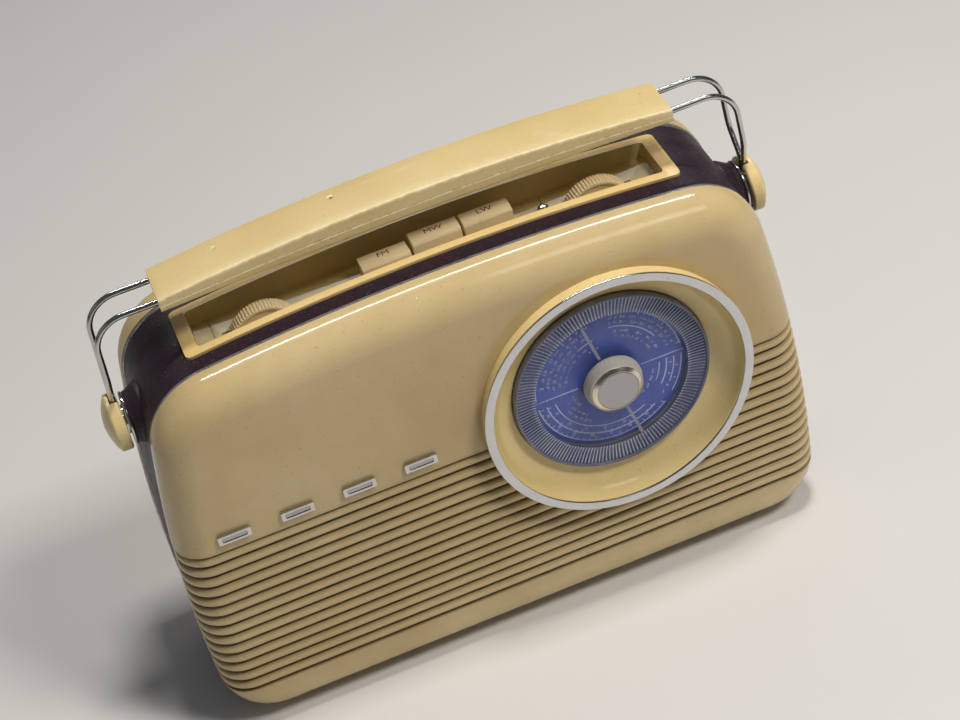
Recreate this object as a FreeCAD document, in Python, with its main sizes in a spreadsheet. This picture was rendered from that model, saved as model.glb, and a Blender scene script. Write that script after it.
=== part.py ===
import FreeCAD, Part
import math
import os
import Sketcher

# Portable table radio with a round tuning dial, a leathercloth band and a carrying handle.
# Units are millimetres.  +X is to the right seen from the front, -Y is the front, +Z is up.
# The origin is under the middle of the whole object, on the surface that it stands on.
# Depths written as Y(d) are measured back from the flat front face of the front shell.

V = FreeCAD.Vector
ROT = FreeCAD.Rotation
PLC = FreeCAD.Placement

doc = FreeCAD.newDocument("PortableRadio")
sheet = doc.addObject("Spreadsheet::Sheet", "Dims")
CELLS = [
    ("depth_origin", 49.75, "front face to the frame origin, along Y"),
    ("case_half_width", 170.0, "widest half width of the case"),
    ("case_top", 226.9, "top of the case at the middle"),
    ("case_floor", 3.0, "underside of the case"),
    ("top_radius", 1186.0, "radius of the arched top"),
    ("side_radius", 760.0, "radius of the bowed sides"),
    ("side_level", 65.0, "height of the widest point"),
    ("top_corner", 38.0, "top corner radius"),
    ("low_corner", 30.0, "bottom corner radius"),
    ("front_depth", 21.0, "depth of the front shell"),
    ("front_round", 17.5, "rounding of the front shell's edge"),
    ("rear_round", 13.5, "rounding of the rear shell's edge"),
    ("rear_start", 84.6, "where the rear shell begins"),
    ("rear_depth", 21.0, "depth of the rear shell"),
    ("shell_wall", 3.4, "wall of both shells"),
    ("bead_width", 2.4, "width of the edge beading"),
    ("bead_set", 0.3, "beading set in from the shells"),
    ("cover_set", 0.6, "leathercloth set in from the shells"),
    ("cover_thick", 1.2, "leathercloth thickness"),
    ("frame_thick", 5.2, "case frame thickness"),
    ("groove_top", 125.6, "height of the top groove"),
    ("groove_pitch", 6.92, "groove pitch"),
    ("groove_wide", 3.4, "width of a groove at the surface"),
    ("groove_slot", 1.7, "width of a groove at its root"),
    ("groove_shallow", 0.8, "depth of the wide part"),
    ("groove_deep", 2.0, "depth of the root"),
    ("dial_x", 66.2, "dial centre"),
    ("dial_z", 134.4, "dial centre height"),
    ("dial_opening", 69.0, "radius of the dial opening in the shell"),
    ("ring_outer", 72.2, "radius of the chrome ring"),
    ("ring_inner", 67.4, "inner radius of the chrome ring"),
    ("disc_radius", 52.8, "radius of the tuning disc"),
    ("shaft_radius", 3.0, "tuning spindle radius"),
    ("run_clear", 0.05, "radial running clearance"),
    ("panel_half", 129.4, "half length of the control panel"),
    ("panel_front", 32.8, "front edge of the panel"),
    ("panel_back", 72.8, "back edge of the panel"),
    ("panel_proud", 1.0, "panel lip above the band"),
    ("panel_floor", 213.0, "floor of the control recess"),
    ("key_width", 25.6, "width of a waveband key"),
    ("key_depth", 10.8, "depth of a waveband key"),
    ("key_top", 229.0, "top of a key that is up"),
    ("key_travel", 3.4, "travel of a waveband key"),
    ("key_pitch", 27.0, "pitch of the keys"),
    ("key_first", -22.0, "middle of the first key"),
    ("wheel_radius", 18.4, "thumbwheel radius"),
    ("wheel_width", 8.0, "thumbwheel width"),
    ("wheel_x", 88.0, "thumbwheel centre either side"),
    ("wheel_z", 206.9, "thumbwheel axis height"),
    ("pivot_z", 183.5, "handle pivot height"),
    ("pivot_depth", 54.3, "handle pivot depth"),
    ("grip_half", 132.5, "half length of the grip"),
    ("grip_half_deep", 14.4, "half depth of the grip"),
    ("rod_radius", 1.5, "handle rod radius"),
    ("rod_spread", 9.5, "half distance between a pair of rods at the grip"),
    ("foot_high", 3.6, "height of a foot"),
    ("foot_radius", 8.0, "radius of a foot"),
    ("speaker_x", -72.0, "loudspeaker centre"),
    ("speaker_z", 77.0, "loudspeaker centre height"),
    ("speaker_radius", 54.0, "loudspeaker flange radius"),
]
D = {}
for row, (name, value, note) in enumerate(CELLS, start=1):
    sheet.set("A%d" % row, name)
    sheet.set("B%d" % row, str(value))
    sheet.setAlias("B%d" % row, name)
    sheet.set("C%d" % row, note)
    D[name] = value
doc.recompute()

YC = D["depth_origin"]
NODES = []
COUNT = [0]


def Y(d):
    """depth behind the front face -> frame coordinate"""
    return d - YC


def uid(stem):
    COUNT[0] += 1
    return "%s_%03d" % (stem, COUNT[0])


def node(obj, name):
    obj.Label = name
    NODES.append((name, obj))
    return obj


def bind(obj, **exprs):
    for prop, expr in exprs.items():
        obj.setExpression(prop.replace("__", "."), expr)
    return obj


# ---------------------------------------------------------------- sketch geometry
def line(p, q):
    return Part.LineSegment(V(p[0], p[1], 0), V(q[0], q[1], 0))


def arc3(p, m, q):
    return Part.Arc(V(p[0], p[1], 0), V(m[0], m[1], 0), V(q[0], q[1], 0))


def poly(pts):
    return [line(pts[i], pts[(i + 1) % len(pts)]) for i in range(len(pts))]


def rect(u0, v0, u1, v1):
    return poly([(u0, v0), (u1, v0), (u1, v1), (u0, v1)])


def circle(u, v, r):
    return [Part.Circle(V(u, v, 0), V(0, 0, 1), r)]


def rrect(u0, v0, u1, v1, r):
    c = r * (1 - math.sqrt(0.5))
    return [
        line((u0 + r, v0), (u1 - r, v0)), arc3((u1 - r, v0), (u1 - c, v0 + c), (u1, v0 + r)),
        line((u1, v0 + r), (u1, v1 - r)), arc3((u1, v1 - r), (u1 - c, v1 - c), (u1 - r, v1)),
        line((u1 - r, v1), (u0 + r, v1)), arc3((u0 + r, v1), (u0 + c, v1 - c), (u0, v1 - r)),
        line((u0, v1 - r), (u0, v0 + r)), arc3((u0, v0 + r), (u0 + c, v0 + c), (u0 + r, v0)),
    ]


def case_centres():
    side = (D["case_half_width"] - D["side_radius"], D["side_level"])
    top = (0.0, D["case_top"] - D["top_radius"])
    rb, rt = D["low_corner"], D["top_corner"]
    zb = D["case_floor"] + rb
    low = (side[0] + math.sqrt((D["side_radius"] - rb) ** 2 - (zb - side[1]) ** 2), zb)
    # top corner centre: inside both the side arc and the top arc
    r0, r1 = D["side_radius"] - rt, D["top_radius"] - rt
    dx, dz = top[0] - side[0], top[1] - side[1]
    d = math.hypot(dx, dz)
    a = (r0 * r0 - r1 * r1 + d * d) / (2 * d)
    h = math.sqrt(r0 * r0 - a * a)
    mx, mz = side[0] + a * dx / d, side[1] + a * dz / d
    c1 = (mx + h * dz / d, mz - h * dx / d)
    c2 = (mx - h * dz / d, mz + h * dx / d)
    up = c1 if c1[1] > c2[1] else c2
    return side, top, low, up


def ray(c, p, r):
    d = math.hypot(p[0] - c[0], p[1] - c[1])
    return (c[0] + (p[0] - c[0]) * r / d, c[1] + (p[1] - c[1]) * r / d)


def case_points(off):
    """right-hand tangent points of the outline set in by off, from the bottom up"""
    side, top, low, up = case_centres()
    rb, rt = D["low_corner"] - off, D["top_corner"] - off
    b0 = (low[0], D["case_floor"] + off)
    b1 = ray(side, low, D["side_radius"] - off)
    t0 = ray(side, up, D["side_radius"] - off)
    t1 = ray(top, up, D["top_radius"] - off)
    dirb = (low[0] - side[0], low[1] - side[1])
    # middle points of the arcs
    ab0, ab1 = -math.pi / 2, math.atan2(b1[1] - low[1], b1[0] - low[0])
    mb = (low[0] + rb * math.cos((ab0 + ab1) / 2), low[1] + rb * math.sin((ab0 + ab1) / 2))
    s0 = math.atan2(b1[1] - side[1], b1[0] - side[0])
    s1 = math.atan2(t0[1] - side[1], t0[0] - side[0])
    ms = (side[0] + (D["side_radius"] - off) * math.cos((s0 + s1) / 2),
          side[1] + (D["side_radius"] - off) * math.sin((s0 + s1) / 2))
    u0 = math.atan2(t0[1] - up[1], t0[0] - up[0])
    u1 = math.atan2(t1[1] - up[1], t1[0] - up[0])
    mu = (up[0] + rt * math.cos((u0 + u1) / 2), up[1] + rt * math.sin((u0 + u1) / 2))
    return b0, mb, b1, ms, t0, mu, t1


def outline(off):
    """closed case outline in (x, z), set in by off"""
    b0, mb, b1, ms, t0, mu, t1 = case_points(off)
    m = lambda p: (-p[0], p[1])
    return [
        line(m(b0), b0), arc3(b0, mb, b1), arc3(b1, ms, t0), arc3(t0, mu, t1),
        arc3(t1, (0.0, D["case_top"] - off), m(t1)),
        arc3(m(t1), m(mu), m(t0)), arc3(m(t0), m(ms), m(b1)), arc3(m(b1), m(mb), m(b0)),
    ]


def arch(x, off=0.0):
    """height of the arched top at x, set in by off"""
    r = D["top_radius"] - off
    return D["case_top"] - D["top_radius"] + math.sqrt(r * r - x * x)


# ---------------------------------------------------------------- PartDesign helpers
def body(stem):
    b = doc.addObject("PartDesign::Body", uid(stem))
    return b


def plane(b, role):
    for o in b.Origin.OriginFeatures:
        if o.Role == role:
            return o
    raise RuntimeError(role)


def sketch(b, role, off, geo, dims=()):
    """sketch on a plane of the body's own origin; off is the coordinate along +X, +Y or +Z"""
    s = b.newObject("Sketcher::SketchObject", uid("Sketch"))
    s.AttachmentSupport = [(plane(b, role), "")]
    s.MapMode = "FlatFace"
    z = -off if role == "XZ_Plane" else off
    s.AttachmentOffset = PLC(V(0, 0, z), ROT())
    for g in geo:
        s.addGeometry(g, False)
    for index, expr in dims:
        n = s.addConstraint(Sketcher.Constraint("Radius", index, float(s.Geometry[index].Radius)))
        s.setExpression("Constraints[%d]" % n, expr)
    return s


def pad(b, role, off, geo, length, expr=None, dims=()):
    """solid that runs from off towards +X, +Y or +Z"""
    s = sketch(b, role, off, geo, dims)
    p = b.newObject("PartDesign::Pad", uid("Pad"))
    p.Profile = s
    p.Length = length
    p.Reversed = role == "XZ_Plane"
    if expr:
        p.setExpression("Length", expr)
    b.Tip = p
    return p


def pocket(b, role, off, geo, length, expr=None, dims=()):
    """cut that runs from off towards +X, +Y or +Z; the removed volume is checked"""
    doc.recompute()
    before = b.Shape.Volume
    s = sketch(b, role, off, geo, dims)
    p = b.newObject("PartDesign::Pocket", uid("Pocket"))
    p.Profile = s
    p.Length = length
    p.Reversed = role != "XZ_Plane"
    if expr:
        p.setExpression("Length", expr)
    b.Tip = p
    doc.recompute()
    if b.Shape.Volume > before - 1e-6:
        raise RuntimeError("pocket removed nothing in %s" % b.Name)
    return p


def spin(b, role, axis, off, geo):
    """revolution of a profile about the sketch's own V or H axis"""
    s = sketch(b, role, off, geo)
    r = b.newObject("PartDesign::Revolution", uid("Revolution"))
    r.Profile = s
    r.ReferenceAxis = (s, [axis])
    r.Angle = 360.0
    b.Tip = r
    return r


def turned(stem, profile, along, at):
    """body turned about the line through at, along X, Y or Z; profile is (radius, distance)"""
    b = body(stem)
    if along == "Y":
        spin(b, "XY_Plane", "V_Axis", 0, profile([0, 1]))
    elif along == "Z":
        spin(b, "XZ_Plane", "V_Axis", 0, profile([0, 1]))
    else:
        spin(b, "XY_Plane", "H_Axis", 0, profile([1, 0]))
    b.Placement = PLC(V(*at), ROT())
    return b


def prof(pts):
    """closed profile from (radius, distance) points; 'order' swaps them for an X axis"""
    def make(order):
        return poly([(p[order[0]], p[order[1]]) for p in pts])
    return make


def edge_names(shape, test):
    return ["Edge%d" % (i + 1) for i, e in enumerate(shape.Edges) if test(e)]


def cut(base, tool, stem="Cut"):
    c = doc.addObject("Part::Cut", uid(stem))
    c.Base, c.Tool = base, tool
    return c


def fuse(items, stem="Fuse"):
    c = doc.addObject("Part::MultiFuse", uid(stem))
    c.Shapes = items
    return c


def group(items, stem="Group"):
    c = doc.addObject("Part::Compound", uid(stem))
    c.Links = items
    return c


def cyl(r, length, at, axis=(0, 0, 1), rexpr=None, lexpr=None):
    c = doc.addObject("Part::Cylinder", uid("Cylinder"))
    c.Radius, c.Height = r, length
    if rexpr:
        c.setExpression("Radius", rexpr)
    if lexpr:
        c.setExpression("Height", lexpr)
    c.Placement = PLC(V(*at), ROT(V(0, 0, 1), V(*axis)))
    return c


def box(x0, x1, y0, y1, z0, z1):
    c = doc.addObject("Part::Box", uid("Box"))
    c.Length, c.Width, c.Height = x1 - x0, y1 - y0, z1 - z0
    c.Placement = PLC(V(x0, y0, z0), ROT())
    return c


def feature(shape, stem, at=None):
    f = doc.addObject("Part::Feature", uid(stem))
    f.Shape = shape
    if at:
        f.Placement = PLC(V(*at), ROT())
    return f


# ================================================================ case shells
def blank(off, y0, depth, radius, front, depth_expr):
    """dished block of the case outline: flat face, rounded edge, open side at the band"""
    b = body("Blank")
    p = pad(b, "XZ_Plane", y0, outline(off), depth, depth_expr)
    doc.recompute()
    yface = y0 if front else y0 + depth
    names = edge_names(p.Shape, lambda e: abs(e.CenterOfMass.y - yface) < 1e-6
                       and abs(e.BoundBox.YLength) < 1e-6)
    f = b.newObject("PartDesign::Fillet", uid("Fillet"))
    f.Base = (p, names)
    f.Radius = radius
    f.setExpression("Radius", "Dims.%s - %g" % ("front_round" if front else "rear_round", off))
    b.Tip = f
    doc.recompute()
    return b


wall = D["shell_wall"]
front_outer = blank(0.0, Y(0), D["front_depth"], D["front_round"], True, "Dims.front_depth")
front_inner = blank(wall, Y(wall), D["front_depth"] - wall + 2, D["front_round"] - wall, True,
                    "Dims.front_depth - Dims.shell_wall + 2")
core_a = blank(D["groove_shallow"], Y(D["groove_shallow"]), 24, D["front_round"] - D["groove_shallow"], True, None)
core_b = blank(D["groove_deep"], Y(D["groove_deep"]), 24, D["front_round"] - D["groove_deep"], True, None)


def slabs(cell):
    out = []
    for i in range(15):
        s = box(-180, 180, Y(-3), Y(D["front_depth"]) + 0.5, 0, 1)
        s.setExpression("Height", "Dims." + cell)
        s.setExpression("Placement.Base.z",
                        "Dims.groove_top - %d * Dims.groove_pitch - Dims.%s / 2" % (i, cell))
        out.append(s)
    return group(out, "Slabs")


grooves_a = cut(slabs("groove_wide"), core_a, "WideGrooves")
grooves_b = cut(slabs("groove_slot"), core_b, "RootGrooves")
shell = cut(front_outer, front_inner, "FrontShell")
shell = cut(shell, grooves_a, "FrontShell")
shell = cut(shell, grooves_b, "FrontShell")
opening = cyl(D["dial_opening"], 12, (D["dial_x"], Y(-4), D["dial_z"]), (0, 1, 0), "Dims.dial_opening")
shell = cut(shell, opening, "FrontShell")
# sound slits through the groove roots in front of the loudspeaker
slit = body("Slits")
geo = []
for i in range(1, 14):
    z = D["groove_top"] - i * D["groove_pitch"]
    half = math.sqrt(max(0.0, 46.0 ** 2 - (z - D["speaker_z"]) ** 2))
    if half > 8:
        geo += rect(D["speaker_x"] - half, z - D["groove_slot"] / 2, D["speaker_x"] + half, z + D["groove_slot"] / 2)
pad(slit, "XZ_Plane", Y(1), geo, 5)
shell = cut(shell, slit, "FrontShell")
doc.recompute()
node(shell, "front_shell")

# ---------------------------------------------------------------- rear shell
rear_y = Y(D["rear_start"])
rear_outer = blank(0.0, rear_y, D["rear_depth"], D["rear_round"], False, "Dims.rear_depth")
rear_inner = blank(wall, rear_y - 2, D["rear_depth"] - wall + 2, D["rear_round"] - wall, False,
                   "Dims.rear_depth - Dims.shell_wall + 2")
back_face = rear_y + D["rear_depth"]
rear = cut(rear_outer, rear_inner, "RearShell")
DOOR = (54.0, 140.0, 24.0, 104.0)     # battery door opening x0, x1, z0, z1
tools = body("RearCuts")
geo = rrect(DOOR[0], DOOR[2], DOOR[1], DOOR[3], 4)
for r in range(7):
    z = 146.0 + 6.5 * r
    for x0, x1 in ((-96, -52), (-44, 0), (8, 52)):
        geo += rect(x0, z, x1, z + 2.4)
for sx, sz in ((-146, 58), (147, 132), (-140, 184), (136, 190)):
    geo += circle(sx, sz, 2.2)
geo += circle(-120, 40, 6.0) + circle(-98, 40, 4.0)
pad(tools, "XZ_Plane", back_face - 6, geo, 12)
rear = cut(rear, tools, "RearShell")
doc.recompute()
node(rear, "rear_shell")

# battery door: plate with a lip behind the shell's face and a finger scoop
door = body("Door")
pad(door, "XZ_Plane", back_face - 3.2, rrect(DOOR[0] + 0.4, DOOR[2] + 0.4, DOOR[1] - 0.4, DOOR[3] - 0.4, 3.6), 3.0)
pocket(door, "XZ_Plane", back_face - 1.8, rrect(88, 92, 106, 99, 3), 3)
node(door, "battery_door")

# ================================================================ band
fy0 = D["front_depth"] + D["bead_width"]
fy1 = D["rear_start"] - D["bead_width"]


def ring_body(stem, y0, depth, off, thick, expr):
    b = body(stem)
    pad(b, "XZ_Plane", Y(y0), outline(off) + outline(off + thick), depth, expr)
    return b


beads = [ring_body("FrontBead", D["front_depth"], D["bead_width"], D["bead_set"], 6.7, "Dims.bead_width"),
         ring_body("RearBead", fy1, D["bead_width"], D["bead_set"], 6.7, "Dims.bead_width")]
node(group(beads, "Beadings"), "edge_beadings")
band_expr = "Dims.rear_start - Dims.front_depth - 2 * Dims.bead_width"
cover = ring_body("Cover", fy0, fy1 - fy0, D["cover_set"], D["cover_thick"], band_expr)
frame = ring_body("Frame", fy0, fy1 - fy0, D["cover_set"] + D["cover_thick"], D["frame_thick"], band_expr)
# opening for the control panel, and holes for the pivot bolts
PX, PY0, PY1 = D["panel_half"] - 2.6, D["panel_front"] + 2.4, D["panel_back"] - 2.4
for b in (cover, frame):
    pocket(b, "XY_Plane", 205, rect(-PX, Y(PY0), PX, Y(PY1)), 30)
    pocket(b, "YZ_Plane", -185, circle(Y(D["pivot_depth"]), D["pivot_z"], 3.0), 370)
node(cover, "band_cover")
node(frame, "case_frame")

# feet
feet = []
for x in (-124, 124):
    for d in (34, 72):
        feet.append(turned("Foot", prof([(0, 0), (D["foot_radius"] - 1.0, 0), (D["foot_radius"], 1.0),
                                         (D["foot_radius"] - 0.6, D["foot_high"]), (0, D["foot_high"])]),
                           "Z", (x, Y(d), 0)))
node(group(feet, "Feet"), "feet")

# ================================================================ control panel
ph = D["panel_half"]
zt, ze = D["case_top"] - D["cover_set"], arch(ph, D["cover_set"])
pr = D["panel_proud"] + D["cover_set"]
panel = body("Panel")
# lip that lies on the band, following the arch
pad(panel, "XZ_Plane", Y(D["panel_front"]),
    [arc3((-ph, ze), (0, zt), (ph, ze)), line((ph, ze), (ph, ze + pr)),
     arc3((ph, ze + pr), (0, zt + pr), (-ph, ze + pr)), line((-ph, ze + pr), (-ph, ze))],
    D["panel_back"] - D["panel_front"], "Dims.panel_back - Dims.panel_front")
# tray let into the band
zx = arch(PX, D["cover_set"])
pad(panel, "XZ_Plane", Y(PY0 + 0.15),
    [line((-PX + 0.15, 210.6), (PX - 0.15, 210.6)), line((PX - 0.15, 210.6), (PX - 0.15, zx + 0.3)),
     arc3((PX - 0.15, zx + 0.3), (0, zt + 0.3), (-PX + 0.15, zx + 0.3)),
     line((-PX + 0.15, zx + 0.3), (-PX + 0.15, 210.6))], PY1 - PY0 - 0.3)
pocket(panel, "XY_Plane", D["panel_floor"], rrect(-121.4, Y(38.4), 121.4, Y(67.2), 2.0), 20)
# slots for the thumbwheels, the keys and the fixing screw in the floor
WY0 = 44.0
geo = []
for sx in (-1, 1):
    geo += rect(sx * D["wheel_x"] - 20.6, Y(WY0 - 1.1), sx * D["wheel_x"] + 20.6, Y(WY0 + D["wheel_width"] + 1.1))
kx0 = D["key_first"] - D["key_width"] / 2 - 0.4
kx1 = D["key_first"] + 2 * D["key_pitch"] + D["key_width"] / 2 + 0.4
KY0 = 44.0
geo += rect(kx0, Y(KY0 - 0.4), kx1, Y(KY0 + D["key_depth"] + 0.4))
geo += circle(62, Y(53), 1.6)
pocket(panel, "XY_Plane", 205, geo, 10)
# rounded corners of the lip
mask = body("PanelOutline")
pad(mask, "XY_Plane", 205, rrect(-ph, Y(D["panel_front"]), ph, Y(D["panel_back"]), 3.0), 30)
rounded = doc.addObject("Part::Common", uid("Panel"))
rounded.Base, rounded.Tool = panel, mask
node(rounded, "control_panel")

# domed screw that holds the panel down
node(turned("PanelScrew", prof([(0, 190), (1.5, 190), (1.5, 213), (3.0, 213), (3.0, 214.6), (2.6, 216.0),
                                (1.6, 217.0), (0, 217.4)]), "Z", (62, Y(53), 0)), "panel_screw")


# ---------------------------------------------------------------- thumbwheels and their controls
def knurled(cx, cz, y0, depth, radius, teeth, stem):
    pts = []
    for i in range(teeth):
        for frac, r in ((0.0, radius), (0.45, radius), (0.55, radius - 0.55), (0.95, radius - 0.55)):
            a = 2 * math.pi * (i + frac) / teeth
            pts.append((cx + r * math.cos(a), cz + r * math.sin(a)))
    b = body(stem)
    pad(b, "XZ_Plane", y0, poly(pts), depth, "Dims.wheel_width")
    return b


POT_Y = 72.6
for sx, word in ((-1, "volume"), (1, "tone")):
    cx = sx * D["wheel_x"]
    # knurled wheel moulded in one with the spindle that runs back into the control
    wheel = knurled(cx, D["wheel_z"], Y(WY0), D["wheel_width"], D["wheel_radius"], 64, "Wheel")
    pad(wheel, "XZ_Plane", Y(WY0 + D["wheel_width"] - 1.0), circle(cx, D["wheel_z"], 2.0), POT_Y + 7 - WY0 - D["wheel_width"])
    node(wheel, word + "_wheel")
    pot = body("Pot")
    pad(pot, "XZ_Plane", Y(POT_Y), circle(cx, D["wheel_z"], 8.4) + circle(cx, D["wheel_z"], 2.05), 8.0)
    pad(pot, "XZ_Plane", Y(POT_Y + 8.0), circle(cx, D["wheel_z"], 8.4), 1.0)
    node(pot, word + "_control")

# bracket that carries both controls and the key bank
brk = body("Bracket")
pad(brk, "XZ_Plane", Y(71.2), rect(-112, 186, 112, 210.0), 1.4)
geo = []
for sx in (-1, 1):
    geo += circle(sx * D["wheel_x"], D["wheel_z"], 2.8)
for x in (-104, 104):
    geo += circle(x, 192, 1.6)
geo = [g for g in geo]
pocket(brk, "XZ_Plane", Y(70), geo, 5)
pad(brk, "XZ_Plane", Y(58.2), rect(-36, 186, 46, 187.4), 13.2)
node(brk, "control_bracket")


# ---------------------------------------------------------------- waveband keys
def key(i, top):
    cx = D["key_first"] + i * D["key_pitch"]
    w = D["key_width"] / 2
    b = body("Key")
    low = top - 19.5
    y0, y1 = Y(KY0), Y(KY0 + D["key_depth"])
    # cap with a sloped front edge, seen along X
    s = [line((y0, low), (y1, low)), line((y1, low), (y1, top - 0.6)), line((y1, top - 0.6), (y1 - 0.6, top)),
         line((y1 - 0.6, top), (y0 + 2.2, top)), arc3((y0 + 2.2, top), (y0 + 0.9, top - 0.5), (y0 + 0.3, top - 1.9)),
         line((y0 + 0.3, top - 1.9), (y0, low))]
    pad(b, "YZ_Plane", cx - w, s, D["key_width"], "Dims.key_width")
    # stem down through the switch bank
    pad(b, "XY_Plane", low - 24, rect(cx - 3, Y(47.4), cx + 3, Y(51.4)), 24.5)
    return b


LOW_UP = D["key_top"] - 19.5
bank_top = 196.0
for i, (word, top) in enumerate((("fm", D["key_top"] - D["key_travel"]), ("mw", D["key_top"]), ("lw", D["key_top"]))):
    node(key(i, top), "key_" + word)
    cx = D["key_first"] + i * D["key_pitch"]
    spring = body("Spring")
    pad(spring, "XY_Plane", bank_top, circle(cx, Y(49.4), 5.0) + circle(cx, Y(49.4), 4.1), top - 19.5 - bank_top)
    node(spring, "spring_" + word)
bank = body("Bank")
pad(bank, "XY_Plane", 166, rect(-36, Y(41), 46, Y(58)), bank_top - 166)
geo = []
for i in range(3):
    cx = D["key_first"] + i * D["key_pitch"]
    geo += rect(cx - 3.3, Y(47.1), cx + 3.3, Y(51.7))
pocket(bank, "XY_Plane", 160, geo, 50)
node(bank, "switch_bank")

# ================================================================ dial
DX, DZ = D["dial_x"], D["dial_z"]
dial_at = (DX, -YC, DZ)


def dial_turned(stem, pts):
    return turned(stem, prof(pts), "Y", dial_at)


# surround: proud rim, coved bowl and floor, let into the shell's opening
sur = body("Surround")
cc, cr = (53.4, -6.9), 13.9
mid = (cc[0] + cr * math.sqrt(0.5), cc[1] + cr * math.sqrt(0.5))
spin(sur, "XY_Plane", "V_Axis", 0,
     [line((71.6, 0), (71.6, -6.5)), line((71.6, -6.5), (cc[0] + math.sqrt(cr * cr - 0.16), -6.5)),
      arc3((cc[0] + math.sqrt(cr * cr - 0.16), -6.5), mid, (53.4, 7.0)), line((53.4, 7.0), (53.4, 9.8)),
      line((53.4, 9.8), (5.5, 9.8)), line((5.5, 9.8), (5.5, 11.8)), line((5.5, 11.8), (56.0, 11.8)),
      line((56.0, 11.8), (61.5, 8.6)), line((61.5, 8.6), (68.6, 3.0)), line((68.6, 3.0), (68.6, 0)),
      line((68.6, 0), (71.6, 0))])
sur.Placement = PLC(V(*dial_at), ROT())
node(sur, "dial_surround")
node(dial_turned("Ring", [(D["ring_inner"], -6.5), (D["ring_inner"], -7.3), (D["ring_inner"] + 0.4, -7.7),
                          (D["ring_outer"] - 0.4, -7.7), (D["ring_outer"], -7.3), (D["ring_outer"], -6.5)]), "dial_ring")
node(dial_turned("Scale", [(6.5, 9.0), (53.2, 9.0), (53.2, 9.8), (6.5, 9.8)]), "scale_plate")
sr = D["shaft_radius"]
node(dial_turned("Disc", [(sr, 4.9), (41.5, 4.9), (50.0, 3.8), (50.4, 3.4), (D["disc_radius"] - 0.4, 3.4),
                          (D["disc_radius"], 3.8), (D["disc_radius"], 6.9), (50.2, 6.9), (49.6, 6.5), (sr, 6.5)]), "tuning_disc")
node(dial_turned("Knob", [(sr, 4.9), (15.7, 4.9), (15.7, 3.4), (15.4, 2.6), (14.2, -1.5), (13.3, -2.3), (11.5, -3.5),
                          (11.2, -3.5), (11.2, -2.0), (sr, -2.0)]), "tuning_knob")
node(dial_turned("Cap", [(0, -2.0), (11.2, -2.0), (11.2, -3.3), (10.8, -3.5), (0, -3.6)]), "knob_cap")
node(dial_turned("Spindle", [(0, -2.0), (sr, -2.0), (sr, 24.0), (0, 24.0)]), "tuning_spindle")
node(dial_turned("Bush", [(sr + D["run_clear"], 9.0), (5.5, 9.0), (5.5, 11.8), (8.0, 11.8), (8.0, 14.0),
                          (4.6, 14.0), (4.6, 16.0), (sr + D["run_clear"], 16.0)]), "spindle_bush")
# pointer: two bars on the disc, leaning to the left at the top
lean = 14.3
bars = []
for a in (90 + lean, 270 + lean):
    b = body("Pointer")
    pad(b, "XZ_Plane", 0, rect(17.2, -0.8, 41.0, 0.8), 0.4)
    b.Placement = PLC(V(DX, Y(4.5), DZ), ROT(V(0, -1, 0), a))
    bars.append(b)
node(group(bars, "Pointers"), "dial_pointer")
# pulley on the spindle and drum on the gang, joined by a drive cord loop
PUL_R, DRUM_R, GANG_X = 10.8, 18.0, DX + 54.0
node(dial_turned("Pulley", [(sr, 18.0), (PUL_R + 1.6, 18.0), (PUL_R + 1.6, 18.8), (PUL_R, 19.6), (PUL_R, 20.8),
                            (PUL_R + 1.6, 21.6), (PUL_R + 1.6, 22.4), (sr, 22.4)]), "drive_pulley")
gang_at = (GANG_X, -YC, DZ)
drum = turned("Drum", prof([(3.0, 18.0), (DRUM_R + 1.6, 18.0), (DRUM_R + 1.6, 18.8), (DRUM_R, 19.6), (DRUM_R, 20.8),
                          (DRUM_R + 1.6, 21.6), (DRUM_R + 1.6, 22.4), (3.0, 22.4)]), "Y", gang_at)
# drive cord: a closed loop, open-belt path around both grooves
cr_ = 0.45
r1, r2 = PUL_R + 0.3 + cr_, DRUM_R + 0.3 + cr_
dd = GANG_X - DX
al = math.asin((r2 - r1) / dd)
p1, p2 = V(DX - r1 * math.sin(al), Y(20.2), DZ + r1 * math.cos(al)), V(GANG_X - r2 * math.sin(al), Y(20.2), DZ + r2 * math.cos(al))
q1, q2 = V(p1.x, p1.y, 2 * DZ - p1.z), V(p2.x, p2.y, 2 * DZ - p2.z)
path = Part.Wire([Part.makeLine(p1, p2), Part.Arc(p2, V(GANG_X + r2, Y(20.2), DZ), q2).toShape(),
                  Part.makeLine(q2, q1), Part.Arc(q1, V(DX - r1, Y(20.2), DZ), p1).toShape()])
sec = Part.Wire([Part.makeCircle(cr_, p1, p2 - p1)])
node(feature(path.makePipeShell([sec], True, False), "Cord"), "drive_cord")

# tuning gang: frame, fixed vanes, moving vanes on their spindle
gf = body("GangFrame")
pad(gf, "XZ_Plane", Y(28), rect(GANG_X - 20, DZ - 20, GANG_X + 20, DZ + 20) + circle(GANG_X, DZ, 3.05), 2.0)
pad(gf, "XZ_Plane", Y(30), rect(GANG_X - 20, DZ - 20, GANG_X + 20, DZ - 18), 24.0)
pad(gf, "XZ_Plane", Y(54), rect(GANG_X - 20, DZ - 20, GANG_X + 20, DZ + 20) + circle(GANG_X, DZ, 3.05), 2.0)
node(gf, "gang_frame")


def half_disc(r, cx, cz, a0):
    p = (cx + r * math.cos(a0), cz + r * math.sin(a0))
    m = (cx + r * math.cos(a0 + math.pi / 2), cz + r * math.sin(a0 + math.pi / 2))
    q = (cx + r * math.cos(a0 + math.pi), cz + r * math.sin(a0 + math.pi))
    return [arc3(p, m, q), line(q, p)]


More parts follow.
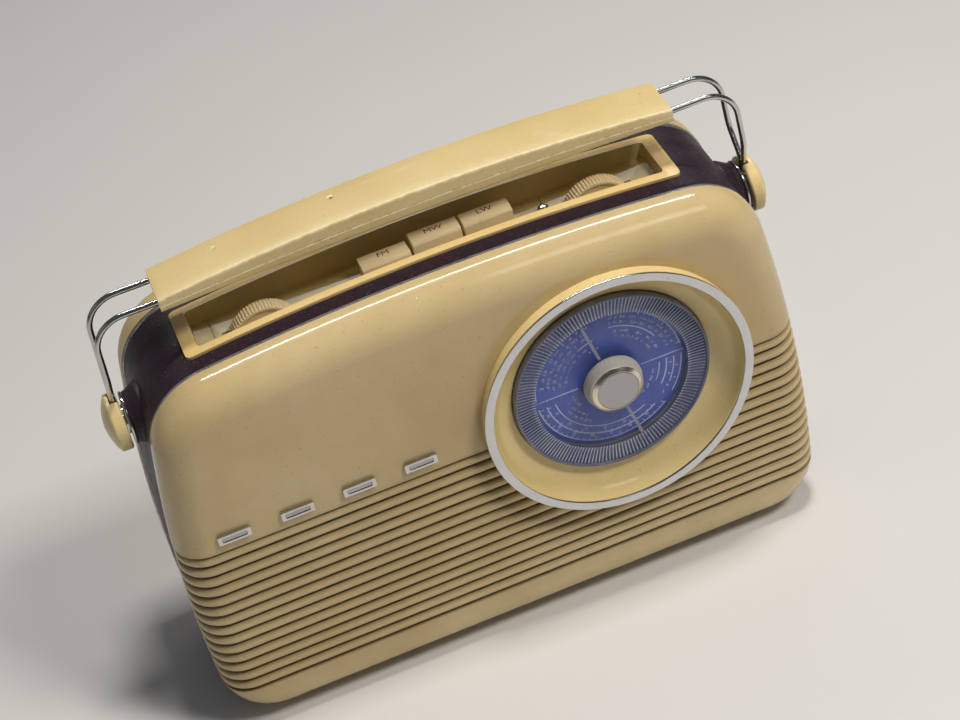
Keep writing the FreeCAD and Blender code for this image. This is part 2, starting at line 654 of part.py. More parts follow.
rot = body("Rotor")
pad(rot, "XZ_Plane", Y(18.0), circle(GANG_X, DZ, 3.0), 39.0)
doc.recompute()
for i in range(6):
    pad(rot, "XZ_Plane", Y(33.0 + 3.2 * i), half_disc(14.5, GANG_X, DZ, math.pi / 2) , 0.8)
node(fuse([rot, drum], "Rotor"), "gang_rotor")
plates = []
for i in range(5):
    b = body("Vane")
    zz = DZ
    pad(b, "XZ_Plane", Y(34.6 + 3.2 * i - 0.4), [arc3((GANG_X - 4, zz + 16.5), (GANG_X + 17, zz), (GANG_X - 4, zz - 16.5)),
                                                  line((GANG_X - 4, zz - 16.5), (GANG_X - 4, zz - 7)),
                                                  arc3((GANG_X - 4, zz - 7), (GANG_X + 8.06, zz), (GANG_X - 4, zz + 7)),
                                                  line((GANG_X - 4, zz + 7), (GANG_X - 4, zz + 16.5))], 0.8)
    plates.append(b)
post = body("Vane")
pad(post, "XZ_Plane", Y(30), rect(GANG_X + 15.6, DZ - 5, GANG_X + 18.6, DZ + 5), 24.0)
node(fuse(plates + [post], "Stator"), "gang_stator")

# ================================================================ loudspeaker
SX, SZ = D["speaker_x"], D["speaker_z"]
spk_at = (SX, -YC, SZ)
bf = body("Baffle")
pad(bf, "XZ_Plane", Y(4.4), rect(-130, 23, -14, 131) + circle(SX, SZ, 49.0), 4.0)
node(bf, "baffle_board")
cl = body("Cloth")
pad(cl, "XZ_Plane", Y(3.6), rect(-128, 25, -16, 129), 0.8)
node(cl, "speaker_cloth")
node(turned("Basket", prof([(49.0, 8.4), (54.0, 8.4), (54.0, 9.8), (50.6, 9.8), (27.0, 33.0), (27.0, 35.0),
                            (12.0, 35.0), (12.0, 33.6), (25.6, 33.6), (49.0, 10.4)]), "Y", spk_at), "speaker_basket")
node(turned("Cone", prof([(0.0, 25.6), (9.0, 28.2), (12.0, 28.2), (46.0, 9.4), (48.6, 9.4), (48.6, 9.9), (46.2, 9.9),
                          (12.2, 28.9), (12.2, 30.8), (0.0, 30.8)]), "Y", spk_at), "speaker_cone")
node(turned("Magnet", prof([(0, 35.0), (22.0, 35.0), (22.0, 40.0), (17.0, 40.0), (17.0, 54.0), (0, 54.0)]), "Y", spk_at), "speaker_magnet")

# ================================================================ circuit board and what is on it
BY = 62.0
pcb = body("Board")
pad(pcb, "XZ_Plane", Y(BY), rect(-138, 34, 48, 128), 1.6)
pocket(pcb, "XZ_Plane", Y(BY - 2), circle(-132, 40, 1.7) + circle(42, 40, 1.7) + circle(-132, 122, 1.7) + circle(42, 122, 1.7), 6)
node(pcb, "circuit_board")
top_y = Y(BY + 1.6)
cans = [box(x, x + 11, top_y, top_y + 15, z, z + 11) for x, z in ((-30, 100), (-8, 104), (14, 96), (14, 70), (-16, 72), (-50, 104))]
node(group(cans, "Cans"), "if_cans")
trf = []
for x, z in ((-118, 52), (-84, 50)):
    lam = box(x, x + 22, top_y, top_y + 16, z, z + 20)
    coil = box(x - 3, x + 25, top_y + 3, top_y + 13, z + 4, z + 16)
    trf.append(fuse([lam, coil], "Transformer"))
node(group(trf, "Transformers"), "transformers")
caps = []
for x, z, r, n in ((-56, 44, 4.2, 18), (-36, 48, 3.6, 15), (-16, 44, 3.2, 13), (28, 50, 5.0, 22), (-100, 96, 4.2, 16), (-74, 88, 3.2, 14)):
    caps.append(cyl(r, n, (x, top_y, z), (0, 1, 0)))
trs = []
for x, z in ((-52, 80), (-40, 66), (0, 58), (-112, 84), (-92, 112), (-70, 112), (32, 84)):
    trs.append(turned("Transistor", prof([(0, 1.0), (3.6, 1.0), (3.6, 2.0), (2.8, 2.0), (2.8, 8.4), (2.2, 9.2), (0, 9.2)]), "Y", (x, top_y - 1.0, z)))
node(group(caps + trs, "Components"), "board_components")
# stand-offs from the frame's floor that carry the board
posts = [cyl(3.0, BY - 56.0, (x, Y(56.0), z), (0, 1, 0)) for x, z in ((-132, 40), (42, 40), (-132, 122), (42, 122))]
chs = body("Chassis")
pad(chs, "XZ_Plane", Y(54.8), rect(-136, 10.0, 56, 132) + circle(SX, SZ, 24), 1.2)
node(fuse([chs] + posts, "Chassis"), "chassis_plate")

# ferrite rod aerial with its coils and clips
RZ, RY = 170.0, 84.0
node(cyl(4.8, 170, (-85, Y(RY), RZ), (1, 0, 0)), "ferrite_rod")
coils = []
for x0, n in ((-72, 26), (30, 38)):
    b = body("Coil")
    pad(b, "YZ_Plane", x0, circle(Y(RY), RZ, 6.4) + circle(Y(RY), RZ, 4.8), n)
    coils.append(b)
node(group(coils, "Coils"), "aerial_coils")
clips = []
for x0 in (-82, 76):
    b = body("Clip")
    pad(b, "YZ_Plane", x0, rect(Y(RY - 8), RZ - 8, Y(RY + 8), RZ + 8) + circle(Y(RY), RZ, 4.8), 5)
    pad(b, "YZ_Plane", x0, rect(Y(71.2), RZ + 4, Y(RY - 8), RZ + 8), 5)
    pad(b, "YZ_Plane", x0, rect(Y(71.2), RZ + 7.5, Y(72.6), 186.0), 5)
    clips.append(b)
node(group(clips, "Clips"), "rod_clips")

# ================================================================ battery
bat = body("Battery")
pad(bat, "XY_Plane", 12.0, rrect(64.2, Y(46), 129.7, Y(97.4), 3), 78.0)
pad(bat, "XY_Plane", 90.0, circle(82, Y(72), 5.4), 2.8)
pad(bat, "XY_Plane", 90.0, circle(112, Y(72), 4.4), 2.8)
node(bat, "battery")
plate = body("SnapPlate")
pad(plate, "XY_Plane", 92.8, rrect(74, Y(64), 120, Y(80), 3), 2.4)
node(plate, "battery_clip")
cradle = body("Cradle")
pad(cradle, "XY_Plane", 10.0, rect(60, Y(40), 136, Y(96)), 1.6)
pad(cradle, "XZ_Plane", Y(40), rect(60, 11.0, 136, 60), 1.6)
pad(cradle, "YZ_Plane", 60, rect(Y(40.5), 11.0, Y(96), 60), 1.6)
node(cradle, "battery_cradle")

# rear sockets and case screws
socks = []
for x, r, rb in ((-120, 6.0, 8.2), (-98, 4.0, 6.0)):
    b = body("Socket")
    pad(b, "XZ_Plane", back_face - 3.4, circle(x, 40, r) + circle(x, 40, r * 0.42), 3.8)
    pad(b, "XZ_Plane", back_face - 12.4, circle(x, 40, rb) + circle(x, 40, r * 0.42), 9.0)
    socks.append(b)
node(group(socks, "Sockets"), "rear_sockets")
scr = []
for sx, sz in ((-146, 58), (147, 132), (-140, 184), (136, 190)):
    b = body("Screw")
    pad(b, "XZ_Plane", back_face - 17, circle(sx, sz, 2.0), 17)
    pad(b, "XZ_Plane", back_face, circle(sx, sz, 4.0), 1.6)
    pocket(b, "XZ_Plane", back_face + 0.8, rect(sx - 5, sz - 0.5, sx + 5, sz + 0.5), 3)
    scr.append(b)
node(group(scr, "Screws"), "case_screws")

# plain raised tablets on the front, left of the dial
tabs = []
for x in (-137.6, -104.6, -72.0, -39.4):
    b = body("Tablet")
    pad(b, "XZ_Plane", Y(-2.0), rrect(x - 8.6, 132.2, x + 8.6, 137.8, 1.2), 2.0)
    tabs.append(b)
node(group(tabs, "Tablets"), "front_tablets")

# ================================================================ handle
HY, HZ = Y(D["pivot_depth"]), D["pivot_z"]
outside = body("OutsideBlank")
pad(outside, "XZ_Plane", Y(20), outline(D["cover_set"]), 70)
bosses, bolts, knobs = [], [], []
for sx in (-1, 1):
    def X(v):
        return sx * v
    def span(r, x0, x1, ro=None):
        c = cyl(r, abs(x1 - x0), (min(X(x0), X(x1)), HY, HZ), (1, 0, 0))
        return c
    boss_blank = body("Boss")
    prof_pts = [(3.0, 150), (16.9, 150), (16.6, 157.2), (13.9, 162.0), (13.9, 165.4), (13.0, 166.0), (3.0, 166.0)]
    pts = [(X(p[1]), p[0]) for p in prof_pts]
    spin(boss_blank, "XY_Plane", "H_Axis", 0, poly(pts))
    boss_blank.Placement = PLC(V(0, HY, HZ), ROT())
    bosses.append(cut(boss_blank, outside, "Boss"))
    bo = body("Bolt")
    pts = [(X(a), r) for r, a in [(0, 152.0), (3.0, 152.0), (3.0, 166.0), (7.6, 166.0), (7.6, 166.9), (3.0, 166.9), (3.0, 172.0), (0, 172.0)]]
    spin(bo, "XY_Plane", "H_Axis", 0, poly(pts))
    bo.Placement = PLC(V(0, HY, HZ), ROT())
    bolts.append(bo)
    kb = body("PivotKnob")
    bore = 3.0 + D["run_clear"]
    # the outer face is part of a sphere
    dome_r = (15.0 ** 2 + 5.4 ** 2) / (2 * 5.4)
    dome_a = math.asin(15.0 / dome_r) / 2
    geo = [line((X(167.2), bore), (X(167.2), 14.4)), line((X(167.2), 14.4), (X(167.8), 15.0)),
           line((X(167.8), 15.0), (X(172.2), 15.0)),
           arc3((X(172.2), 15.0), (X(177.6 - dome_r + dome_r * math.cos(dome_a)), dome_r * math.sin(dome_a)), (X(177.6), 0.0)),
           line((X(177.6), 0.0), (X(172.4), 0.0)), line((X(172.4), 0.0), (X(172.4), bore)),
           line((X(172.4), bore), (X(167.2), bore))]
    spin(kb, "XY_Plane", "H_Axis", 0, geo)
    doc.recompute()
    # slot in the rim that the two rods go into
    kb.Placement = PLC(V(0, HY, HZ), ROT())
    slot = box(min(X(167.0), X(171.2)), max(X(167.0), X(171.2)), HY - 3.6, HY + 3.6, HZ + 4.0, HZ + 20)
    knobs.append(cut(kb, slot, "PivotKnob"))
node(group(bosses, "Bosses"), "pivot_bosses")
node(group(bolts, "Bolts"), "pivot_bolts")
node(group(knobs, "PivotKnobs"), "pivot_knobs")


def rounded_path(pts, radii):
    """straight runs joined by tangent arcs"""
    edges = []
    last = V(*pts[0])
    for i in range(1, len(pts) - 1):
        a, p, c = V(*pts[i - 1]), V(*pts[i]), V(*pts[i + 1])
        u, w = (a - p), (c - p)
        u.normalize()
        w.normalize()
        ang = u.getAngle(w)
        d = radii[i - 1] / math.tan(ang / 2)
        t0, t1 = p + u * d, p + w * d
        bis = u + w
        bis.normalize()
        m = p + bis * (radii[i - 1] / math.sin(ang / 2) - radii[i - 1])
        edges.append(Part.makeLine(last, t0))
        edges.append(Part.Arc(t0, m, t1).toShape())
        last = t1
    edges.append(Part.makeLine(last, V(*pts[-1])))
    return Part.Wire(edges)


rr, rs = D["rod_radius"], D["rod_spread"]
pair = []
for sx in (-1, 1):
    for sy in (-1, 1):
        pts = [(sx * 112.0, HY + sy * rs, 249.6), (sx * 166.2, HY + sy * rs, 249.6),
               (sx * 167.9, HY + sy * (rs - 0.4), 216.0), (sx * 169.1, HY + sy * 1.75, 199.5),
               (sx * 169.3, HY + sy * 1.75, 188.4)]
        w = rounded_path(pts, [25.5, 20.0, 9.0])
        e0 = w.Edges[0]
        start = V(*pts[0])
        sec = Part.Wire([Part.makeCircle(rr, start, V(sx, 0, 0))])
        pair.append(feature(w.makePipeShell([sec], True, False), "Rod"))
node(group(pair, "Rods"), "handle_rods")

# grip: two moulded halves that meet on a line along the side, closed over the rods
gh, gd = D["grip_half"], D["grip_half_deep"]


def grip(lower):
    b = body("Grip")
    if lower:
        lo = [(-gh, 246.2), (0, 248.4), (gh, 246.2)]
        hi = [(-gh, 249.6), (0, 254.2), (gh, 249.6)]
    else:
        lo = [(-gh, 249.6), (0, 254.2), (gh, 249.6)]
        hi = [(-gh, 253.6), (0, 261.5), (gh, 253.6)]
    pad(b, "XZ_Plane", HY - gd, [arc3(*lo), line(lo[2], hi[2]), arc3(hi[2], hi[1], hi[0]), line(hi[0], lo[0])], 2 * gd,
        "2 * Dims.grip_half_deep")
    doc.recompute()
    if lower:
        pick = lambda e: e.BoundBox.YLength < 1e-6 and e.BoundBox.XLength > 50 and e.CenterOfMass.z < 249.0
    else:
        pick = lambda e: e.BoundBox.YLength < 1e-6 and e.BoundBox.XLength > 50 and e.CenterOfMass.z > 255.5
    f = doc.addObject("Part::Fillet", uid("Fillet"))
    f.Base = b
    f.Edges = [(i + 1, 1.8, 1.8) for i, e in enumerate(b.Shape.Edges) if pick(e)]
    doc.recompute()
    return f


channels = []
for sx in (-1, 1):
    for sy in (-1, 1):
        channels.append(cyl(rr, 40, (111.9 if sx > 0 else -151.9, HY + sy * rs, 249.6), (1, 0, 0)))
chan = group(channels, "Channels")
node(cut(grip(False), chan, "GripUpper"), "grip_upper")
node(cut(grip(True), chan, "GripLower"), "grip_lower")

# ================================================================ write the parts
doc.recompute()
bad = []
for o in doc.Objects:
    if any(s in ("Invalid", "Error") for s in o.State):
        bad.append("%s %s %s" % (o.Name, o.Label, o.State))
for name, obj in NODES:
    s = obj.Shape
    if s.isNull() or not s.isValid() or s.Volume <= 0 or not s.Solids:
        bad.append("shape %s" % name)
if bad:
    raise RuntimeError("; ".join(bad))
if len(NODES) > 60 or len({n for n, _ in NODES}) != len(NODES):
    raise RuntimeError("node names %d" % len(NODES))
os.makedirs("parts", exist_ok=True)
low, high = [1e9] * 3, [-1e9] * 3
for name, obj in NODES:
    obj.Shape.exportStep("parts/%s.step" % name)
    bb = obj.Shape.BoundBox
    low = [min(a, b) for a, b in zip(low, (bb.XMin, bb.YMin, bb.ZMin))]
    high = [max(a, b) for a, b in zip(high, (bb.XMax, bb.YMax, bb.ZMax))]
print("nodes", len(NODES), "box", [round(v, 3) for v in low], [round(v, 3) for v in high])
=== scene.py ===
import bpy, bmesh, math
import numpy as np
from mathutils import Vector, Matrix


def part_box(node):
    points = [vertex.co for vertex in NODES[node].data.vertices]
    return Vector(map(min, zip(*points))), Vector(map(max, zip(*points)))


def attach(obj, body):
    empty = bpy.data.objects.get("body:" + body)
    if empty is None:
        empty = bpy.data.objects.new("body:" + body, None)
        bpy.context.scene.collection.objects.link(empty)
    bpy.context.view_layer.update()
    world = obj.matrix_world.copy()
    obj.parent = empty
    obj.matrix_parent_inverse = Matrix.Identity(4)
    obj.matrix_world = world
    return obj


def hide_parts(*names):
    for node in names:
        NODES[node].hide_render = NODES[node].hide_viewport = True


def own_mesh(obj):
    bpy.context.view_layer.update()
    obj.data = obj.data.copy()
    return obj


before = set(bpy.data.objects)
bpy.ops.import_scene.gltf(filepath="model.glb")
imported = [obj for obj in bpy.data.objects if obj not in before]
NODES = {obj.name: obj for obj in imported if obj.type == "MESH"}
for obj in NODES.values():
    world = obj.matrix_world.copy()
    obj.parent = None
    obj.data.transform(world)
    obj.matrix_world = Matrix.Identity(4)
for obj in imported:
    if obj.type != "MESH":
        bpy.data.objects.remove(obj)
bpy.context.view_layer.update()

MM = 0.001
YC = 49.75
TAU = 2 * math.pi


def Y(d):
    """depth behind the flat front face, in mm, to the frame's y"""
    return d - YC


# ------------------------------------------------------------------ mesh helpers (mm in, metres out)
def make(name, verts, faces, mats, idx=None, sharp=35.0, fix=False):
    me = bpy.data.meshes.new(name)
    co = np.asarray(verts, float) * MM
    me.from_pydata([tuple(v) for v in co], [], [tuple(int(i) for i in f) for f in faces])
    if not isinstance(mats, (list, tuple)):
        mats = [mats]
    for m in mats:
        me.materials.append(m)
    if idx is not None:
        me.polygons.foreach_set("material_index", np.asarray(idx, np.int32))
    me.update()
    if fix:
        bm = bmesh.new()
        bm.from_mesh(me)
        bmesh.ops.recalc_face_normals(bm, faces=bm.faces)
        bm.to_mesh(me)
        bm.free()
    ob = bpy.data.objects.new(name, me)
    bpy.context.scene.collection.objects.link(ob)
    shade(ob, sharp)
    return ob


def shade(ob, sharp=35.0):
    me = ob.data
    me.shade_smooth()
    me.set_sharp_from_angle(angle=math.radians(sharp))
    me.update()


def bake_mods(ob):
    """the modifiers' result becomes the mesh"""
    bpy.context.view_layer.update()
    dg = bpy.context.evaluated_depsgraph_get()
    me = bpy.data.meshes.new_from_object(ob.evaluated_get(dg))
    old = ob.data
    ob.modifiers.clear()
    ob.data = me
    if old.users == 0:
        bpy.data.meshes.remove(old)
    return ob


def boolean(ob, other, op="DIFFERENCE", keep=False, solver="EXACT"):
    m = ob.modifiers.new("b", "BOOLEAN")
    m.operation = op
    m.object = other
    m.solver = solver
    bake_mods(ob)
    if not keep:
        bpy.data.objects.remove(other)
    return ob


def bevel(ob, width, segs=3, angle=30.0, harden=False):
    m = ob.modifiers.new("v", "BEVEL")
    m.width = width * MM
    m.segments = segs
    m.limit_method = "ANGLE"
    m.angle_limit = math.radians(angle)
    m.use_clamp_overlap = True
    bake_mods(ob)
    return ob


def join(name, obs):
    """several mesh objects as one, materials kept"""
    mats, bm = [], bmesh.new()
    for o in obs:
        start = len(bm.faces)
        remap = []
        for m in o.data.materials:
            if m not in mats:
                mats.append(m)
            remap.append(mats.index(m))
        bm.from_mesh(o.data)
        bm.faces.ensure_lookup_table()
        for f in bm.faces[start:]:
            f.material_index = remap[f.material_index] if remap else 0
    me = bpy.data.meshes.new(name)
    bm.to_mesh(me)
    bm.free()
    for m in mats:
        me.materials.append(m)
    ob = bpy.data.objects.new(name, me)
    bpy.context.scene.collection.objects.link(ob)
    for o in obs:
        bpy.data.objects.remove(o)
    return ob


def prism_xy(name, pts, z0, z1, mats, sharp=35.0):
    """closed outline (x, y) in mm between two heights"""
    n = len(pts)
    v = [(x, y, z0) for x, y in pts] + [(x, y, z1) for x, y in pts]
    f = [tuple(range(n))[::-1], tuple(range(n, 2 * n))]
    f += [(i, (i + 1) % n, n + (i + 1) % n, n + i) for i in range(n)]
    return make(name, v, f, mats, sharp=sharp, fix=True)


def prism_xz(name, pts, y0, y1, mats, sharp=35.0):
    n = len(pts)
    v = [(x, y0, z) for x, z in pts] + [(x, y1, z) for x, z in pts]
    f = [tuple(range(n))[::-1], tuple(range(n, 2 * n))]
    f += [(i, (i + 1) % n, n + (i + 1) % n, n + i) for i in range(n)]
    return make(name, v, f, mats, sharp=sharp, fix=True)


def prism_yz(name, pts, x0, x1, mats, sharp=35.0):
    n = len(pts)
    v = [(x0, y, z) for y, z in pts] + [(x1, y, z) for y, z in pts]
    f = [tuple(range(n))[::-1], tuple(range(n, 2 * n))]
    f += [(i, (i + 1) % n, n + (i + 1) % n, n + i) for i in range(n)]
    return make(name, v, f, mats, sharp=sharp, fix=True)


def rrect(u0, v0, u1, v1, r, n=6):
    out = []
    for cx, cy, a0 in ((u1 - r, v0 + r, -90), (u1 - r, v1 - r, 0), (u0 + r, v1 - r, 90), (u0 + r, v0 + r, 180)):
        for k in range(n + 1):
            a = math.radians(a0 + 90.0 * k / n)
            out.append((cx + r * math.cos(a), cy + r * math.sin(a)))
    return out


def soften(pts, rad=0.4, n=4, closed=True):
    """corners of a polyline replaced by small arcs; a point may carry its own radius as a third number"""
    out, m = [], len(pts)
    for i, p in enumerate(pts):
        r = p[2] if len(p) > 2 else rad
        p0 = np.array(p[:2], float)
        if (not closed and i in (0, m - 1)) or r <= 0:
            out.append(tuple(p0))
            continue
        a, b = np.array(pts[i - 1][:2], float) - p0, np.array(pts[(i + 1) % m][:2], float) - p0
        la, lb = np.linalg.norm(a), np.linalg.norm(b)
        if la < 1e-9 or lb < 1e-9:
            out.append(tuple(p0))
            continue
        a, b = a / la, b / lb
        turn = math.acos(max(-1, min(1, float(-(a @ b)))))
        if turn < math.radians(8):
            out.append(tuple(p0))
            continue
        cut = min(r * math.tan(turn / 2), 0.45 * la, 0.45 * lb)
        s, e = p0 + a * cut, p0 + b * cut
        for k in range(n + 1):
            t = k / n
            q = (1 - t) ** 2 * s + 2 * t * (1 - t) * p0 + t * t * e
            out.append(tuple(q))
    return out


def arc_pts(c, r, a0, a1, n):
    return [(c[0] + r * math.cos(math.radians(a0 + (a1 - a0) * k / n)),
             c[1] + r * math.sin(math.radians(a0 + (a1 - a0) * k / n))) for k in range(n + 1)]


def lathe(name, prof, axis, centre, mats, segs=160, closed=True, idx=None, sharp=35.0):
    """prof is (r, h) pairs; axis 'x', 'y' or 'z'; h runs along the axis, measured from centre"""
    v, rows = [], []
    for r, h in prof:
        if r < 1e-6:
            rows.append([len(v)])
            v.append((0.0, 0.0, h))
        else:
            rows.append(list(range(len(v), len(v) + segs)))
            for k in range(segs):
                a = TAU * k / segs
                v.append((r * math.cos(a), r * math.sin(a), h))
    f, fi = [], []
    m = len(rows)
    for i in range(m if closed else m - 1):
        a, b = rows[i], rows[(i + 1) % m]
        if len(a) == 1 and len(b) == 1:
            continue
        for k in range(segs):
            k2 = (k + 1) % segs
            if len(a) == 1:
                f.append((a[0], b[k2], b[k]))
            elif len(b) == 1:
                f.append((a[k], a[k2], b[0]))
            else:
                f.append((a[k], a[k2], b[k2], b[k]))
            fi.append(idx(i) if idx else 0)
    v = np.array(v)
    if axis == "y":
        v = np.stack([v[:, 0], v[:, 2], v[:, 1]], 1)
    elif axis == "x":
        v = np.stack([v[:, 2], v[:, 0], v[:, 1]], 1)
    v = v + np.array(centre, float)
    return make(name, v, f, mats, idx=fi if idx else None, sharp=sharp, fix=True)


def tube(name, path, radius, mats, segs=20, cap=True, sharp=60.0):
    """round bar along a list of points in mm"""
    p = np.array(path, float)
    n = len(p)
    t = np.gradient(p, axis=0)
    t /= np.linalg.norm(t, axis=1)[:, None]
    up = np.array([0, 0, 1.0]) if abs(t[0][2]) < 0.9 else np.array([0, 1.0, 0])
    v, f = [], []
    u = np.cross(t[0], up)
    u /= np.linalg.norm(u)
    rad = radius if hasattr(radius, "__len__") else [radius] * n
    for i in range(n):
        u = u - t[i] * (u @ t[i])
        u /= np.linalg.norm(u)
        w = np.cross(t[i], u)
        for k in range(segs):
            a = TAU * k / segs
            v.append(p[i] + rad[i] * (math.cos(a) * u + math.sin(a) * w))
    for i in range(n - 1):
        for k in range(segs):
            k2 = (k + 1) % segs
            f.append((i * segs + k, i * segs + k2, (i + 1) * segs + k2, (i + 1) * segs + k))
    if cap:
        f.append(tuple(range(segs))[::-1])
        f.append(tuple((n - 1) * segs + k for k in range(segs)))
    return make(name, v, f, mats, sharp=sharp, fix=True)


def round_path(pts, radii, step=2.0):
    """3-D polyline with tangent arcs at its inner points"""
    p = [np.array(q, float) for q in pts]
    out = [p[0]]
    for i in range(1, len(p) - 1):
        a, b = p[i - 1] - p[i], p[i + 1] - p[i]
        la, lb = np.linalg.norm(a), np.linalg.norm(b)
        a, b = a / la, b / lb
        turn = math.pi - math.acos(max(-1, min(1, float(a @ b))))
        r = radii[i - 1]
        cut = min(r * math.tan(turn / 2), 0.48 * la, 0.48 * lb)
        r = cut / math.tan(turn / 2)
        bis = (a + b) / np.linalg.norm(a + b)
        c = p[i] + bis * (r / math.cos(turn / 2))
        s, e = p[i] + a * cut, p[i] + b * cut
        k = max(4, int(r * turn / step))
        vs, ve = s - c, e - c
        for j in range(k + 1):
            w = j / k
            q = (math.sin((1 - w) * turn) * vs + math.sin(w * turn) * ve) / math.sin(turn)
            out.append(c + q)
    out.append(p[-1])
    res = [out[0]]
    for q in out[1:]:
        if np.linalg.norm(q - res[-1]) > 0.05:
            res.append(q)
    return res


def text_mesh(name, text, size, mats, depth=0.02):
    cu = bpy.data.curves.new(name, "FONT")
    cu.body = text
    cu.size = size * MM
    cu.extrude = depth * MM
    cu.align_x = "CENTER"
    cu.align_y = "CENTER"
    cu.resolution_u = 3
    ob = bpy.data.objects.new(name + "_t", cu)
    bpy.context.scene.collection.objects.link(ob)
    bpy.context.view_layer.update()
    dg = bpy.context.evaluated_depsgraph_get()
    me = bpy.data.meshes.new_from_object(ob.evaluated_get(dg))
    bpy.data.objects.remove(ob)
    bpy.data.curves.remove(cu)
    me.materials.clear()
    me.materials.append(mats)
    o2 = bpy.data.objects.new(name, me)
    bpy.context.scene.collection.objects.link(o2)
    return o2


def put(ob, matrix):
    ob.data.transform(matrix)
    return ob


def paint(node, mat):
    o = NODES[node]
    o.data.materials.clear()
    o.data.materials.append(mat)


def use(ob, body, slot, *replaced):
    if replaced:
        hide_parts(*replaced)
    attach(ob, body)
    return ob


# ------------------------------------------------------------------ materials
def lin(c):
    out = []
    for v in c:
        v = v / 255.0
        out.append(v / 12.92 if v <= 0.04045 else ((v + 0.055) / 1.055) ** 2.4)
    return tuple(out) + (1.0,)


class Mat:
    """a Principled material with short calls for procedural detail, in object coordinates (metres)"""

    def __init__(self, name, rough=0.5, metal=0.0, **sockets):
        self.m = bpy.data.materials.new(name)
        self.m.use_nodes = True
        self.nt = self.m.node_tree
        self.nt.nodes.clear()
        self.out = self.n("OutputMaterial")
        self.b = self.n("BsdfPrincipled")
        self.nt.links.new(self.b.outputs[0], self.out.inputs[0])
        self.b.inputs["Roughness"].default_value = rough
        self.b.inputs["Metallic"].default_value = metal
        for k, v in sockets.items():
            self.b.inputs[k.replace("_", " ")].default_value = v
        self.tc = self.n("TexCoord").outputs["Object"]

    def n(self, kind):
        return self.nt.nodes.new("ShaderNode" + kind)

    def link(self, a, b):
        self.nt.links.new(a, b)

    def put(self, socket, value):
        if hasattr(value, "is_output") or hasattr(value, "links"):
            self.link(value, socket)
        else:
            socket.default_value = value

    def place(self, stretch=(1, 1, 1), shift=(0, 0, 0), turn=(0, 0, 0)):
        mp = self.n("Mapping")
        mp.inputs["Scale"].default_value = stretch
        mp.inputs["Location"].default_value = shift
        mp.inputs["Rotation"].default_value = turn
        self.link(self.tc, mp.inputs["Vector"])
        return mp.outputs[0]

    def noise(self, scale, detail=3.0, rough=0.55, stretch=None, shift=(0, 0, 0), turn=(0, 0, 0), distort=0.0):
        t = self.n("TexNoise")
        t.inputs["Scale"].default_value = scale
        t.inputs["Detail"].default_value = detail
        t.inputs["Roughness"].default_value = rough
        t.inputs["Distortion"].default_value = distort
        self.link(self.place(stretch or (1, 1, 1), shift, turn), t.inputs["Vector"])
        return t.outputs["Fac"]

    def voronoi(self, scale, feature="F1", stretch=None, shift=(0, 0, 0), out="Distance", random=1.0):
        t = self.n("TexVoronoi")
        t.feature = feature
        t.inputs["Scale"].default_value = scale
        t.inputs["Randomness"].default_value = random
        self.link(self.place(stretch or (1, 1, 1), shift), t.inputs["Vector"])
        return t.outputs[out]

    def wave(self, scale, axis="X", distort=0.0, detail=1.0, shift=(0, 0, 0)):
        t = self.n("TexWave")
        t.bands_direction = axis
        t.inputs["Scale"].default_value = scale
        t.inputs["Distortion"].default_value = distort
        t.inputs["Detail"].default_value = detail
        self.link(self.place(shift=shift), t.inputs["Vector"])
        return t.outputs["Fac"]

    def ramp(self, fac, stops, interp="LINEAR"):
        r = self.n("ValToRGB")
        cr = r.color_ramp
        cr.interpolation = interp
        while len(cr.elements) < len(stops):
            cr.elements.new(0.5)
        for e, (pos, col) in zip(cr.elements, stops):
            e.position = pos
            e.color = col if hasattr(col, "__len__") else (col, col, col, 1)
        self.link(fac, r.inputs[0])
        return r.outputs[0]

    def mix(self, fac, a, b, mode="MIX"):
        x = self.n("Mix")
        x.data_type = "RGBA"
        x.blend_type = mode
        self.put(x.inputs[0], fac)
        self.put(x.inputs[6], a)
        self.put(x.inputs[7], b)
        return x.outputs[2]

    def math(self, op, a, b=0.0, clamp=False):
        x = self.n("Math")
        x.operation = op
        x.use_clamp = clamp
        self.put(x.inputs[0], a)
        self.put(x.inputs[1], b)
        return x.outputs[0]

    def span(self, v, a, b, c=0.0, d=1.0):
        r = self.n("MapRange")
        r.inputs["From Min"].default_value = a
        r.inputs["From Max"].default_value = b
        r.inputs["To Min"].default_value = c
        r.inputs["To Max"].default_value = d
        r.clamp = True
        self.link(v, r.inputs["Value"])
        return r.outputs["Result"]

    def attr(self, name):
        a = self.n("Attribute")
        a.attribute_name = name
        return a.outputs["Fac"]

    def edge(self, low=0.52, high=0.6):
        g = self.n("NewGeometry")
        return self.span(g.outputs["Pointiness"], low, high)

    def bump(self, height, strength=0.2, distance=0.0005, normal=None):
        b = self.n("Bump")
        b.inputs["Strength"].default_value = strength
        b.inputs["Distance"].default_value = distance
        self.link(height, b.inputs["Height"])
        if normal is not None:
            self.link(normal, b.inputs["Normal"])
        return b.outputs["Normal"]

    def colour(self, v):
        self.put(self.b.inputs["Base Color"], v)

    def rough(self, v):
        self.put(self.b.inputs["Roughness"], v)

    def metal(self, v):
        self.put(self.b.inputs["Metallic"], v)

    def normal(self, v):
        self.link(v, self.b.inputs["Normal"])


